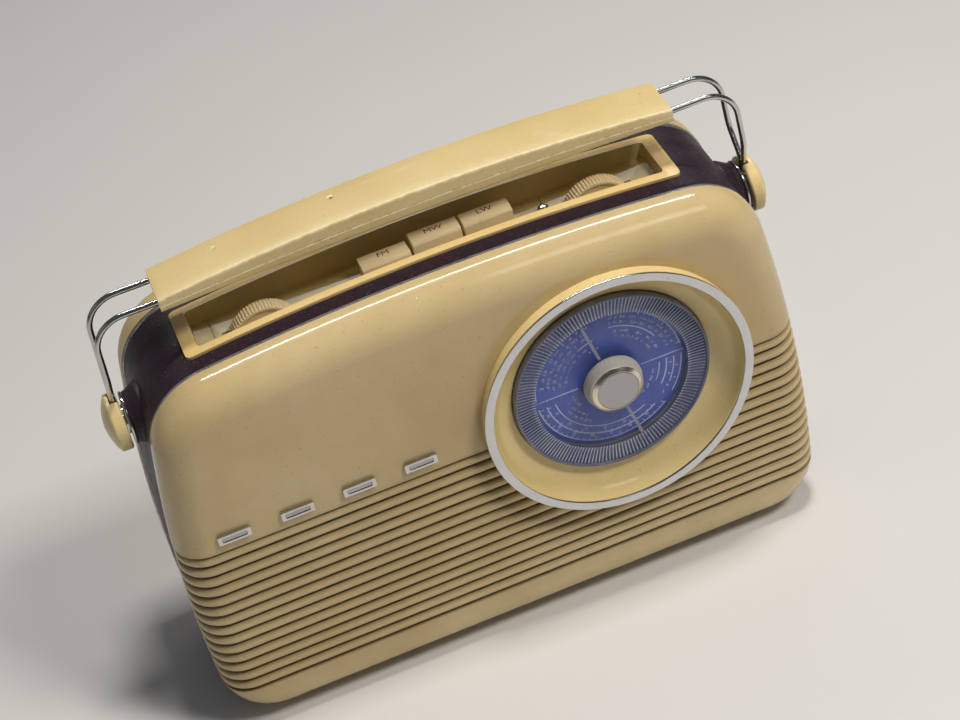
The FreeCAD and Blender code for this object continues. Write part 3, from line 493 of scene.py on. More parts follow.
def plastic(name, main, pale, dark, rough=0.32, groove_shade=None, scratch=0.35, speck=0.5, wear=None, peel=0.05):
    """moulded plastic that has aged: broad tone changes, fine specks, hairline scratches"""
    m = Mat(name, rough=rough)
    big = m.noise(9, 3, 0.6)
    mid = m.noise(60, 4, 0.6, shift=(3, 1, 2))
    col = m.ramp(big, [(0.3, lin(dark)), (0.5, lin(main)), (0.72, lin(pale))])
    col = m.mix(m.span(mid, 0.45, 0.8, 0, 0.35), col, lin(dark))
    spots = m.noise(700, 2, 0.5, shift=(7, 7, 1))
    col = m.mix(m.span(spots, 0.66, 0.74, 0, speck), col, lin([c * 0.72 for c in main]))
    marks = m.voronoi(55, shift=(1, 4, 2))
    col = m.mix(m.span(marks, 0.03, 0.012, 0, speck * 0.9), col, lin([c * 0.55 for c in main]))
    # painted shade: the groove attribute darkens the colour towards the bottoms of the grooves
    if groove_shade is not None:
        col = m.mix(m.span(m.attr("groove_shade"), 0.0, 1.0, 0, 0.85), col, lin(groove_shade))
    if wear is not None:
        col = m.mix(m.math("MULTIPLY", m.edge(0.515, 0.56), m.span(mid, 0.35, 0.6)), col, lin(wear))
    m.colour(col)
    s1 = m.noise(260, 5, 0.75, stretch=(0.05, 1, 1.3), turn=(0, 0.35, 0.2))
    s2 = m.noise(300, 5, 0.75, stretch=(1.2, 1, 0.06), turn=(0, -0.5, 0.1))
    hair = m.math("MAXIMUM", m.span(s1, 0.66, 0.72), m.span(s2, 0.68, 0.74))
    r = m.math("ADD", m.span(mid, 0.3, 0.75, rough - 0.05, rough + 0.09), m.math("MULTIPLY", hair, 0.22 * scratch))
    m.rough(r)
    orange = m.noise(420, 2, 0.5)
    nrm = m.bump(orange, peel, 0.0004)
    nrm = m.bump(hair, 0.12 * scratch, 0.0002, nrm)
    m.normal(nrm)
    return m.m


# the colour given for the grooves is painted shade, laid into the bottoms of the front grooves
M_SHELL = plastic("cream_shell", (210, 188, 141), (219, 198, 153), (198, 174, 126), rough=0.12, groove_shade=(74, 56, 36), scratch=0.6, peel=0.015)
M_REAR = plastic("cream_rear", (212, 190, 140), (220, 199, 152), (200, 176, 124), rough=0.36, groove_shade=(84, 66, 38))
M_PANEL = plastic("cream_panel", (232, 204, 142), (239, 213, 154), (220, 190, 128), rough=0.24, peel=0.03)
M_PANEL_IN = plastic("cream_panel_inner", (202, 184, 128), (212, 195, 141), (178, 158, 104), rough=0.36)
M_SURR = plastic("cream_surround", (236, 213, 154), (243, 221, 165), (227, 202, 141), rough=0.13, scratch=0.4, peel=0.02)
M_KEYS = plastic("cream_keys", (250, 229, 184), (254, 236, 198), (244, 219, 170), rough=0.2, speck=0.25)
M_KNOB_CREAM = plastic("cream_pivot_knob", (238, 215, 160), (243, 222, 172), (228, 202, 144), rough=0.33)


def handle_plastic():
    m = Mat("cream_grip_worn", rough=0.36)
    big = m.noise(8, 3, 0.6, shift=(2, 5, 1))
    mid = m.noise(45, 5, 0.65)
    col = m.ramp(big, [(0.3, lin((214, 190, 130))), (0.52, lin((226, 204, 148))), (0.75, lin((234, 214, 162)))])
    col = m.mix(m.span(mid, 0.5, 0.8, 0, 0.4), col, lin((200, 170, 108)))
    # rubbed patches and brown marks
    blot = m.noise(30, 6, 0.7, shift=(4, 2, 9), distort=1.2)
    col = m.mix(m.span(blot, 0.66, 0.72, 0, 0.55), col, lin((176, 138, 78)))
    spots = m.noise(520, 3, 0.6, shift=(7, 7, 1))
    col = m.mix(m.span(spots, 0.67, 0.74, 0, 0.6), col, lin((140, 108, 62)))
    chips = m.voronoi(42, shift=(1, 4, 2))
    col = m.mix(m.span(chips, 0.05, 0.02, 0, 0.9), col, lin((112, 82, 46)))
    wear = m.math("MULTIPLY", m.edge(0.51, 0.56), m.span(m.noise(120, 5, 0.7, shift=(1, 1, 1)), 0.42, 0.6))
    col = m.mix(wear, col, lin((244, 228, 184)))
    # pale line from the attribute: partly rubbed wear, partly a painted highlight
    rub = m.math("MULTIPLY", m.attr("wear_and_highlight"), m.span(m.noise(210, 5, 0.75, shift=(6, 2, 1)), 0.4, 0.56))
    col = m.mix(rub, col, lin((252, 240, 206)))
    m.colour(col)
    s1 = m.noise(240, 5, 0.8, stretch=(0.04, 1.2, 1.2), turn=(0.1, 0.25, 0.35))
    s2 = m.noise(200, 5, 0.8, stretch=(1.2, 0.06, 1), turn=(0.3, 0.1, -0.5))
    hair = m.math("MAXIMUM", m.span(s1, 0.63, 0.7), m.span(s2, 0.66, 0.72))
    r = m.math("ADD", m.span(mid, 0.3, 0.75, 0.2, 0.34), m.math("MULTIPLY", hair, 0.2))
    m.rough(r)
    dents = m.span(m.voronoi(42, shift=(1, 4, 2)), 0.09, 0.03)
    nrm = m.bump(m.noise(300, 4, 0.6), 0.12, 0.0005)
    nrm = m.bump(dents, 0.5, -0.0006, nrm)
    nrm = m.bump(hair, 0.22, -0.0003, nrm)
    m.normal(nrm)
    return m.m


M_GRIP = handle_plastic()


def leather():
    m = Mat("leathercloth_aubergine", rough=0.5, **{"Specular IOR Level": 0.32})
    cells = m.voronoi(1500, "SMOOTH_F1")
    cells2 = m.voronoi(760, "F1", shift=(2, 2, 3))
    fine = m.noise(2600, 3, 0.6)
    big = m.noise(14, 3, 0.5)
    col = m.ramp(big, [(0.3, lin((25, 15, 21))), (0.55, lin((31, 19, 26))), (0.8, lin((38, 25, 33)))])
    col = m.mix(m.span(cells, 0.08, 0.6, 0.0, 0.6), lin((52, 38, 50)), col)
    col = m.mix(m.span(m.noise(1000, 3, 0.7, shift=(4, 4, 4)), 0.61, 0.69, 0, 0.6), col, lin((124, 108, 114)))
    rub = m.math("MULTIPLY", m.span(m.noise(60, 5, 0.7, shift=(9, 2, 4)), 0.62, 0.74), m.span(m.noise(700, 4, 0.7), 0.45, 0.6))
    col = m.mix(m.math("MULTIPLY", rub, 0.5), col, lin((120, 106, 108)))
    m.colour(col)
    m.rough(m.span(m.noise(90, 4, 0.6, shift=(5, 1, 1)), 0.3, 0.7, 0.4, 0.58))
    nrm = m.bump(cells, 0.4, -0.0004)
    nrm = m.bump(cells2, 0.16, -0.0004, nrm)
    nrm = m.bump(fine, 0.2, 0.0002, nrm)
    m.normal(nrm)
    return m.m


M_LEATHER = leather()


def beading():
    m = Mat("edge_beading_metal", rough=0.35, metal=0.6)
    n = m.noise(260, 6, 0.78, stretch=(0.3, 1, 0.6))
    col = m.ramp(n, [(0.36, lin((104, 104, 112))), (0.5, lin((166, 168, 176))), (0.62, lin((226, 227, 230)))])
    pits = m.noise(1300, 3, 0.6, shift=(3, 3, 3))
    patch = m.span(m.noise(40, 4, 0.6, shift=(8, 3, 1)), 0.42, 0.6)
    col = m.mix(m.math("MULTIPLY", m.span(pits, 0.52, 0.64), m.math("ADD", m.math("MULTIPLY", patch, 0.6), 0.2)), col, lin((36, 30, 34)))
    m.colour(col)
    m.rough(m.span(n, 0.3, 0.7, 0.46, 0.24))
    m.metal(m.span(n, 0.38, 0.6, 0.35, 0.9))
    m.normal(m.bump(n, 0.35, 0.0004))
    return m.m


M_BEAD = beading()


def chrome(name, base=(205, 204, 202), rough=0.1, pits=0.6, tint=(120, 92, 62)):
    m = Mat(name, rough=rough, metal=1.0)
    n = m.noise(70, 5, 0.65)
    spots = m.noise(900, 4, 0.7, shift=(2, 7, 3))
    mask = m.math("MULTIPLY", m.span(spots, 0.62, 0.7), m.span(n, 0.42, 0.62), clamp=True)
    col = m.mix(m.span(n, 0.3, 0.8, 0, 0.35), lin(base), lin([c * 0.82 for c in base]))
    col = m.mix(m.math("MULTIPLY", mask, pits), col, lin(tint))
    m.colour(col)
    fine = m.noise(350, 5, 0.8, stretch=(1, 0.08, 1), turn=(0.2, 0.3, 0.5))
    r = m.math("ADD", m.span(fine, 0.45, 0.8, rough, rough + 0.14), m.math("MULTIPLY", mask, 0.4 * pits))
    m.rough(r)
    nrm = m.bump(mask, 0.35 * pits, -0.0003)
    nrm = m.bump(m.noise(160, 3, 0.5), 0.03, 0.0006, nrm)
    m.normal(nrm)
    return m.m


M_CHROME = chrome("chrome_rods", pits=0.8)
M_RING = chrome("chrome_dial_ring", base=(214, 214, 216), rough=0.12, pits=0.55, tint=(140, 120, 96))
M_TAB = chrome("chrome_tablets", base=(216, 214, 210), rough=0.12, pits=0.25)
M_SCREW = chrome("chrome_screw", base=(190, 190, 192), rough=0.18, pits=0.5)


def satin():
    m = Mat("knob_satin_metal", rough=0.5, metal=0.08)
    n = m.noise(500, 4, 0.7, stretch=(1, 0.2, 1))
    big = m.noise(60, 4, 0.6)
    col = m.mix(m.span(n, 0.3, 0.7), lin((196, 193, 187)), lin((214, 212, 206)))
    col = m.mix(m.span(big, 0.5, 0.75, 0, 0.3), col, lin((172, 166, 154)))
    m.colour(col)
    m.rough(m.span(n, 0.3, 0.7, 0.42, 0.58))
    m.normal(m.bump(n, 0.1, 0.0003))
    return m.m


M_SATIN = satin()
M_CAP = chrome("knob_cap_metal", base=(176, 174, 176), rough=0.14, pits=0.3)
M_RIMB = chrome("knob_bevel_polished", base=(236, 226, 206), rough=0.2, pits=0.1)


def simple(name, a, b, rough=0.5, metal=0.0, scale=80, bump=0.15, grain=900, alpha=None, **sockets):
    """base and second colour by cloudy noise, a grain in the surface"""
    m = Mat(name, rough=rough, metal=metal, **sockets)
    n = m.noise(scale, 5, 0.65)
    g = m.noise(grain, 3, 0.6, shift=(1, 2, 3))
    col = m.ramp(n, [(0.32, lin(a)), (0.68, lin(b))])
    col = m.mix(m.span(g, 0.6, 0.75, 0, 0.35), col, lin([c * 0.6 for c in a]))
    m.colour(col)
    m.rough(m.span(n, 0.3, 0.7, max(0.03, rough - 0.08), rough + 0.08))
    m.normal(m.bump(g, bump, 0.0004))
    if alpha is not None:
        m.b.inputs["Alpha"].default_value = alpha
    return m.m


M_SCALE = simple("dial_scale_blue", (46, 76, 176), (58, 90, 194), rough=0.2, scale=30, bump=0.02)
M_PRINT = simple("dial_print", (214, 224, 255), (232, 238, 255), rough=0.45, scale=400, bump=0.02)
M_PLATE_EDGE = simple("dial_plate_border", (150, 146, 146), (170, 164, 156), rough=0.3, scale=60, bump=0.02)
M_LENS = simple("dial_clear_plastic", (196, 200, 214), (206, 210, 222), rough=0.08, scale=60, bump=0.01, alpha=0.045)
M_RIM = simple("dial_disc_rim", (96, 98, 116), (124, 126, 142), rough=0.2, scale=80, bump=0.05)
M_POINT = simple("pointer_grey", (132, 138, 160), (156, 160, 178), rough=0.4, metal=0.1, scale=120)
M_BLACK = simple("dark_mark", (44, 34, 30), (60, 48, 42), rough=0.6, scale=200)
M_RUBBER = simple("black_rubber", (26, 25, 26), (38, 36, 37), rough=0.75, scale=70, bump=0.3)
M_DTRIM = simple("dark_trim", (40, 34, 40), (56, 50, 56), rough=0.45, scale=70, bump=0.1)
M_PLY = simple("plywood_brown", (150, 112, 70), (176, 138, 92), rough=0.65, scale=40, bump=0.3, grain=300)
M_STEEL = simple("steel_plate", (140, 142, 146), (168, 170, 174), rough=0.36, metal=0.9, scale=50)
M_BRASS = simple("brass_plate", (168, 132, 70), (196, 158, 92), rough=0.34, metal=0.9, scale=50)
M_ALU = simple("aluminium_vane", (172, 174, 178), (198, 200, 204), rough=0.3, metal=0.95, scale=60)
M_BOARD = simple("board_brown", (112, 74, 38), (140, 94, 52), rough=0.5, scale=60, bump=0.2, grain=500)
M_COMP = simple("component_mix", (62, 56, 60), (140, 104, 60), rough=0.4, scale=240, bump=0.1)
M_BAKE = simple("bakelite", (48, 26, 18), (66, 38, 26), rough=0.35, scale=60)
M_CONE = simple("paper_cone", (52, 50, 48), (70, 67, 62), rough=0.85, scale=120, bump=0.5)
M_FERR = simple("ferrite", (44, 42, 44), (60, 58, 60), rough=0.5, scale=100, bump=0.3)
M_WIRE = simple("copper_wire", (168, 92, 46), (196, 116, 62), rough=0.35, metal=0.8, scale=200)
M_CORD = simple("cord", (196, 184, 150), (214, 204, 172), rough=0.8, scale=300, bump=0.5)
M_CARD = simple("battery_card", (150, 48, 40), (176, 66, 52), rough=0.6, scale=50, bump=0.1)
M_MAGN = simple("magnet_iron", (96, 94, 92), (122, 120, 116), rough=0.5, metal=0.6, scale=80)


def cloth():
    m = Mat("grille_cloth", rough=0.9)
    a = m.wave(900, "X")
    b = m.wave(900, "Z")
    w = m.math("MAXIMUM", a, b)
    col = m.mix(w, lin((30, 22, 20)), lin((78, 62, 50)))
    col = m.mix(m.span(m.noise(60, 4, 0.6), 0.4, 0.7, 0, 0.4), col, lin((48, 38, 32)))
    m.colour(col)
    m.normal(m.bump(w, 0.6, 0.0004))
    return m.m


M_CLOTH = cloth()

FINISH = {
    "front_shell": M_SHELL, "rear_shell": M_REAR, "battery_door": M_REAR, "edge_beadings": M_BEAD,
    "band_cover": M_LEATHER, "case_frame": M_PLY, "feet": M_RUBBER, "control_panel": M_PANEL,
    "panel_screw": M_SCREW, "volume_wheel": M_KEYS, "tone_wheel": M_KEYS, "volume_control": M_BAKE,
    "tone_control": M_BAKE, "control_bracket": M_STEEL, "key_fm": M_KEYS, "key_mw": M_KEYS, "key_lw": M_KEYS,
    "spring_fm": M_STEEL, "spring_mw": M_STEEL, "spring_lw": M_STEEL, "switch_bank": M_BAKE,
    "dial_surround": M_SURR, "dial_ring": M_RING, "scale_plate": M_SCALE, "tuning_disc": M_LENS,
    "tuning_knob": M_SATIN, "knob_cap": M_CAP, "tuning_spindle": M_BRASS, "spindle_bush": M_BRASS,
    "dial_pointer": M_POINT, "drive_pulley": M_BAKE, "drive_cord": M_CORD, "gang_frame": M_STEEL,
    "gang_rotor": M_ALU, "gang_stator": M_ALU, "baffle_board": M_PLY, "speaker_cloth": M_CLOTH,
    "speaker_basket": M_STEEL, "speaker_cone": M_CONE, "speaker_magnet": M_MAGN, "circuit_board": M_BOARD,
    "if_cans": M_ALU, "transformers": M_COMP, "board_components": M_COMP, "chassis_plate": M_STEEL,
    "ferrite_rod": M_FERR, "aerial_coils": M_WIRE, "rod_clips": M_BAKE, "battery": M_CARD,
    "battery_clip": M_BRASS, "battery_cradle": M_DTRIM, "rear_sockets": M_DTRIM, "case_screws": M_SCREW,
    "front_tablets": M_TAB, "pivot_bosses": M_LEATHER, "pivot_bolts": M_CHROME, "pivot_knobs": M_KNOB_CREAM,
    "handle_rods": M_CHROME, "grip_upper": M_GRIP, "grip_lower": M_GRIP,
}
for _n, _m in FINISH.items():
    paint(_n, _m)

# ------------------------------------------------------------------ case outline, in mm
HALF_W, TOP, FLOOR_Z, TOP_R, SIDE_R, SIDE_Z = 170.0, 226.9, 3.0, 1186.0, 760.0, 65.0
R_UP, R_LOW = 38.0, 30.0
SIDE_C = (HALF_W - SIDE_R, SIDE_Z)
TOP_C = (0.0, TOP - TOP_R)
LOW_C = (SIDE_C[0] + math.sqrt((SIDE_R - R_LOW) ** 2 - (FLOOR_Z + R_LOW - SIDE_Z) ** 2), FLOOR_Z + R_LOW)


def _up_centre():
    r0, r1 = SIDE_R - R_UP, TOP_R - R_UP
    dx, dz = TOP_C[0] - SIDE_C[0], TOP_C[1] - SIDE_C[1]
    d = math.hypot(dx, dz)
    a = (r0 * r0 - r1 * r1 + d * d) / (2 * d)
    h = math.sqrt(r0 * r0 - a * a)
    mx, mz = SIDE_C[0] + a * dx / d, SIDE_C[1] + a * dz / d
    c1 = (mx + h * dz / d, mz - h * dx / d)
    c2 = (mx - h * dz / d, mz + h * dx / d)
    return c1 if c1[1] > c2[1] else c2


UP_C = _up_centre()
A_SIDE_LOW = math.atan2(LOW_C[1] - SIDE_C[1], LOW_C[0] - SIDE_C[0])
A_SIDE_UP = math.atan2(UP_C[1] - SIDE_C[1], UP_C[0] - SIDE_C[0])
A_TOP = math.atan2(UP_C[1] - TOP_C[1], UP_C[0] - TOP_C[0])


def arch(x, off=0.0):
    r = TOP_R - off
    return TOP - TOP_R + math.sqrt(r * r - x * x)


def side_at(z, t):
    """right-hand outline set in by t, at height z: (x, normal x, normal z)"""
    rc = R_LOW - t
    z_low = LOW_C[1] + rc * math.sin(A_SIDE_LOW)
    if z < z_low:
        dz = max(-rc, z - LOW_C[1])
        dx = math.sqrt(max(0.0, rc * rc - dz * dz))
        return LOW_C[0] + dx, dx / rc, dz / rc
    R = SIDE_R - t
    dz = z - SIDE_C[1]
    dx = math.sqrt(R * R - dz * dz)
    return SIDE_C[0] + dx, dx / R, dz / R


def outline(off, step=2.0):
    """whole outline set in by off as (x, z) points, from the bottom left corner round anticlockwise"""
    rb, rt = R_LOW - off, R_UP - off
    right = []

    def sweep(c, r, a0, a1):
        n = max(3, int(abs(a1 - a0) * r / step))
        for k in range(n):
            a = a0 + (a1 - a0) * k / n
            right.append((c[0] + r * math.cos(a), c[1] + r * math.sin(a)))

    nb = int(LOW_C[0] / step)
    for k in range(nb):
        right.append((LOW_C[0] * k / nb, FLOOR_Z + off))
    sweep(LOW_C, rb, -math.pi / 2, A_SIDE_LOW)
    sweep(SIDE_C, SIDE_R - off, A_SIDE_LOW, A_SIDE_UP)
    sweep(UP_C, rt, A_SIDE_UP, A_TOP)
    sweep(TOP_C, TOP_R - off, A_TOP, math.pi / 2)
    right.append((0.0, TOP - off))
    left = [(-x, z) for x, z in right[1:-1]][::-1]
    return right + left


# ------------------------------------------------------------------ front shell
G_TOP, PITCH, G_N = 125.6, 6.92, 15
G_HALF, RIB_H, G_DEEP = 0.62, 2.15, 2.75


def rib_depth(z):
    """how far the ribbed face lies behind the flat one, and how strongly the groove is darkened there as painted shade
    """
    k = min(G_N - 1, max(0, round((G_TOP - z) / PITCH)))
    s = z - (G_TOP - PITCH * k)
    a = abs(s)
    if a <= 0.46:
        return G_DEEP, 1.0
    outer = (k == 0 and s > 0) or (k == G_N - 1 and s < 0)
    if outer:
        if a >= 1.15:
            return 0.0, max(0.0, 0.2 - (a - 1.15) * 0.2) if a < 2.2 else 0.0
        u = (1.15 - a) / (1.15 - 0.5)
        return 0.5 * (1 - math.sqrt(max(0, 1 - u * u))) + (G_DEEP - 0.5) * max(0.0, (0.5 + 0.04 - a)) / 0.08 * 0.9, 0.55 * u
    half = PITCH / 2 - G_HALF
    if a <= G_HALF:
        w = (a - 0.46) / (G_HALF - 0.46)
        return G_DEEP + (RIB_H - G_DEEP) * w, 1.0 - 0.2 * w
    u = min(1.0, (a - G_HALF) / half)
    return RIB_H * (1 - math.sqrt(max(0, 1 - (1 - u) ** 2.2))), 0.6 * (1 - u) ** 3


def front_shell():
    rows = [27.0, 27.35, 27.6]
    for k in range(G_N - 1, -1, -1):
        zc = G_TOP - PITCH * k
        half = PITCH / 2 - G_HALF
        if k == G_N - 1:
            rows += [zc - 1.02, zc - 0.8, zc - 0.62, zc - 0.52]
        rows += [zc - 0.45, zc + 0.45]
        if k > 0:
            rows.append(zc + G_HALF)
            for th in (14, 28, 43, 58, 74):
                rows.append(zc + G_HALF + half * (1 - math.cos(math.radians(th))))
            rows.append(zc + PITCH / 2)
            for th in (74, 58, 43, 28, 14):
                rows.append(zc + PITCH - G_HALF - half * (1 - math.cos(math.radians(th))))
            rows.append(zc + PITCH - G_HALF)
        else:
            rows += [zc + 0.52, zc + 0.62, zc + 0.8, zc + 1.02, zc + 1.2]
    rows = sorted(set(round(r, 4) for r in rows))
    z = rows[-1] + 2.0
    R_IN = 17.5
    z_side_top = SIDE_C[1] + (SIDE_R - R_IN) * math.sin(A_SIDE_UP)
    while z < z_side_top - 1.0:
        rows.append(z)
        z += 3.0
    n_corner = 6
    a_mid = 0.5 * (A_SIDE_UP + A_TOP)
    corner_angles = [A_SIDE_UP + (a_mid - A_SIDE_UP) * k / n_corner for k in range(0, n_corner)]
    NRr = len(rows)
    NC = 118
    # stations: kind, parameter
    right = [("row", zz) for zz in rows] + [("up", aa) for aa in corner_angles] + [("up", a_mid)]

    def station(kind, q, t):
        """(x, z, nx, nz) on the right half of the outline set in by t"""
        if kind == "row":
            if q <= 131.0:
                x, nx, nz = side_at(q, t)
                return x, q, nx, nz
            w = min(1.0, (q - 131.0) / 45.0)
            w = w * w * (3 - 2 * w)
            ac = math.asin((q - SIDE_C[1]) / (SIDE_R - t))
            an = math.asin((q - SIDE_C[1]) / (SIDE_R - R_IN))
            an = min(an, A_SIDE_UP)
            aa = min((1 - w) * ac + w * an, A_SIDE_UP)
            return SIDE_C[0] + (SIDE_R - t) * math.cos(aa), SIDE_C[1] + (SIDE_R - t) * math.sin(aa), math.cos(aa), math.sin(aa)
        if kind == "up":
            r = R_UP - t
            return UP_C[0] + r * math.cos(q), UP_C[1] + r * math.sin(q), math.cos(q), math.sin(q)
        if kind == "top":
            r = TOP_R - t
            return TOP_C[0] + r * math.cos(q), TOP_C[1] + r * math.sin(q), math.cos(q), math.sin(q)
        if kind == "low":
            rc = R_LOW - t
            a0 = -math.asin((LOW_C[1] - 27.0) / rc)
            aa = a0 + q * (-math.pi / 2 - a0)
            return LOW_C[0] + rc * math.cos(aa), LOW_C[1] + rc * math.sin(aa), math.cos(aa), math.sin(aa)
        return q, FLOOR_Z + t, 0.0, -1.0

    # bottom row of the grid: from the left corner to the right one
    a0 = -math.asin((LOW_C[1] - 27.0) / (R_LOW - R_IN))
    arc_l = (R_LOW - R_IN) * (math.pi / 2 + a0)
    total = 2 * arc_l + 2 * LOW_C[0]
    bottom = []
    for j in range(NC + 1):
        s = total * j / NC
        if s < arc_l:
            bottom.append(("low", 1.0 * s / arc_l, -1))
        elif s > total - arc_l:
            bottom.append(("low", (total - s) / arc_l, 1))
        else:
            bottom.append(("line", -LOW_C[0] + (s - arc_l), 1))
    arc_u = (R_UP - R_IN) * (A_TOP - a_mid)
    arc_t = (TOP_R - R_IN) * (math.pi / 2 - A_TOP)
    total = 2 * (arc_u + arc_t)
    top = []
    for j in range(NC + 1):
        s = total * j / NC
        m = min(s, total - s)
        sgn = -1 if s < total / 2 else 1
        if m < arc_u:
            top.append(("up", a_mid + (A_TOP - a_mid) * m / arc_u, sgn))
        else:
            top.append(("top", A_TOP + (math.pi / 2 - A_TOP) * (m - arc_u) / arc_t, sgn))
    NR = len(right)

    def at(st, t):
        kind, q = st[0], st[1]
        sgn = st[2] if len(st) > 2 else 1
        x, zz, nx, nz = station(kind, q, t)
        return sgn * x, zz, sgn * nx, nz

    # points, and for each point how much painted groove shade it carries
    V, GROOVE_SHADE = [], []

    def add(x, d, zz, groove_shade=0.0):
        V.append((x, Y(d), zz))
        GROOVE_SHADE.append(groove_shade)
        return len(V) - 1

    def grid(depth, ribs):
        g = []
        for i in range(-1, NR):
            line = []
            if i == -1:
                for st in bottom:
                    x, zz, _, _ = at(st, R_IN)
                    line.append(add(x, depth, zz))
            elif i == NR - 1:
                for st in top:
                    x, zz, _, _ = at(st, R_IN)
                    line.append(add(x, depth, zz))
            else:
                x1, zz, _, _ = at(right[i], R_IN)
                dd, groove_shade = (rib_depth(zz) if ribs and right[i][0] == "row" and zz < 130 else (0.0, 0.0))
                for j in range(NC + 1):
                    line.append(add(-x1 + 2 * x1 * j / NC, depth + dd, zz, groove_shade))
            g.append(line)
        return g

    def perimeter(g):
        """stations with their grid vertex, anticlockwise seen from the front"""
        p = []
        for j in range(NC + 1):
            p.append((bottom[j], g[0][j]))
        for i in range(1, NR):
            p.append(((right[i - 1][0], right[i - 1][1], 1), g[i][NC]))
        for j in range(NC, -1, -1):
            p.append((top[j], g[NR][j]))
        for i in range(NR - 1, 0, -1):
            p.append(((right[i - 1][0], right[i - 1][1], -1), g[i][0]))
        return p

    FA = []
    gf = grid(0.0, True)
    gi = grid(3.4, False)
    slit = set()
    for k in range(1, 14):
        zc = G_TOP - PITCH * k
        dz = zc - 77.0
        if abs(dz) < 46.0:
            w = math.sqrt(46.0 ** 2 - dz * dz)
            if w > 6:
                slit.add((round(zc - 0.45, 3), w))
    n_open = 0
    for i in range(NR):
        zi = None
        if 1 <= i < NR:
            zi = right[i - 1][1] if right[i - 1][0] == "row" else None
        hit = [w for zz, w in slit if zi is not None and abs(zz - zi) < 0.01]
        cells = []
        for j in range(NC):
            xm = 0.25 * (V[gf[i][j]][0] + V[gf[i][j + 1]][0] + V[gf[i + 1][j]][0] + V[gf[i + 1][j + 1]][0])
            open_ = bool(hit) and abs(xm + 72.0) < hit[0]
            cells.append(open_)
            if not open_:
                FA.append((gf[i][j], gf[i][j + 1], gf[i + 1][j + 1], gf[i + 1][j]))
                FA.append((gi[i][j], gi[i + 1][j], gi[i + 1][j + 1], gi[i][j + 1]))
            else:
                n_open += 1
        for j in range(NC):
            if cells[j]:
                FA.append((gf[i][j], gi[i][j], gi[i][j + 1], gf[i][j + 1]))
                FA.append((gf[i + 1][j], gf[i + 1][j + 1], gi[i + 1][j + 1], gi[i + 1][j]))
                if not cells[j - 1]:
                    FA.append((gf[i][j], gf[i + 1][j], gi[i + 1][j], gi[i][j]))
                if not cells[j + 1]:
                    FA.append((gf[i][j + 1], gi[i][j + 1], gi[i + 1][j + 1], gf[i + 1][j + 1]))

    def ring(g, radius, d0, steps, ribs, last):
        per = perimeter(g)
        lines = [[v for _, v in per]]
        marks = [(math.radians(90.0 * k / steps), None) for k in range(1, steps + 1)] + [(math.pi / 2, d) for d in last]
        for ph, dd in marks:
            cur = []
            t = R_IN - radius * math.sin(ph)
            d = d0 + radius * (1 - math.cos(ph)) if dd is None else dd
            for st, _ in per:
                x, zz, nx, nz = at(st, t)
                groove_shade = 0.0
                if ribs and st[0] == "row" and zz < 130:
                    dep, groove_shade = rib_depth(zz)
                    x -= math.copysign(dep * math.sin(ph), x) * 1.0
                    cur.append(add(x, d + dep * math.cos(ph), zz, groove_shade))
                else:
                    cur.append(add(x, d, zz, groove_shade))
            lines.append(cur)
        return lines

    out = ring(gf, 17.5, 0.0, 12, True, [19.5, 20.75])
    inn = ring(gi, 14.1, 3.4, 8, False, [21.0])
    # rim: last outer line set in a touch, at the joint
    per = perimeter(gf)
    rim = []
    for (st, _), v in zip(per, out[-1]):
        x, y, zz = V[v]
        _, _, nx, nz = at(st, 0.0)
        rim.append(add(x - 0.3 * nx, 21.0, zz - 0.3 * nz, GROOVE_SHADE[v]))
    out.append(rim)
    n = len(per)
    for lines in (out, inn):
        for a, b in zip(lines[:-1], lines[1:]):
            for k in range(n):
                k2 = (k + 1) % n
                FA.append((a[k], a[k2], b[k2], b[k]))
    for k in range(n):
        k2 = (k + 1) % n
        FA.append((out[-1][k], out[-1][k2], inn[-1][k2], inn[-1][k]))
    ob = make("front_shell_moulded", V, FA, M_SHELL, sharp=50, fix=True)
    # per-point painted shade for the groove bottoms, read by the shell material
    at_ = ob.data.attributes.new("groove_shade", "FLOAT", "POINT")
    at_.data.foreach_set("value", np.array(GROOVE_SHADE, np.float32))
    # dial opening
    bm = bmesh.new()
    bmesh.ops.create_cone(bm, segments=144, radius1=0.069, radius2=0.069, depth=0.03, cap_ends=True)
    me = bpy.data.meshes.new("cutter")
    bm.to_mesh(me)
    bm.free()
    cutter = bpy.data.objects.new("cutter", me)
    bpy.context.scene.collection.objects.link(cutter)
    me.transform(Matrix.Translation((0.0662, Y(2) * MM, 0.1344)) @ Matrix.Rotation(math.pi / 2, 4, "X"))
    boolean(ob, cutter)
    shade(ob, 50)
    use(ob, "case", "cream_plastic", "front_shell")
    return ob


front_shell()

# ------------------------------------------------------------------ tuning dial
DX, DZ = 66.2, 134.4


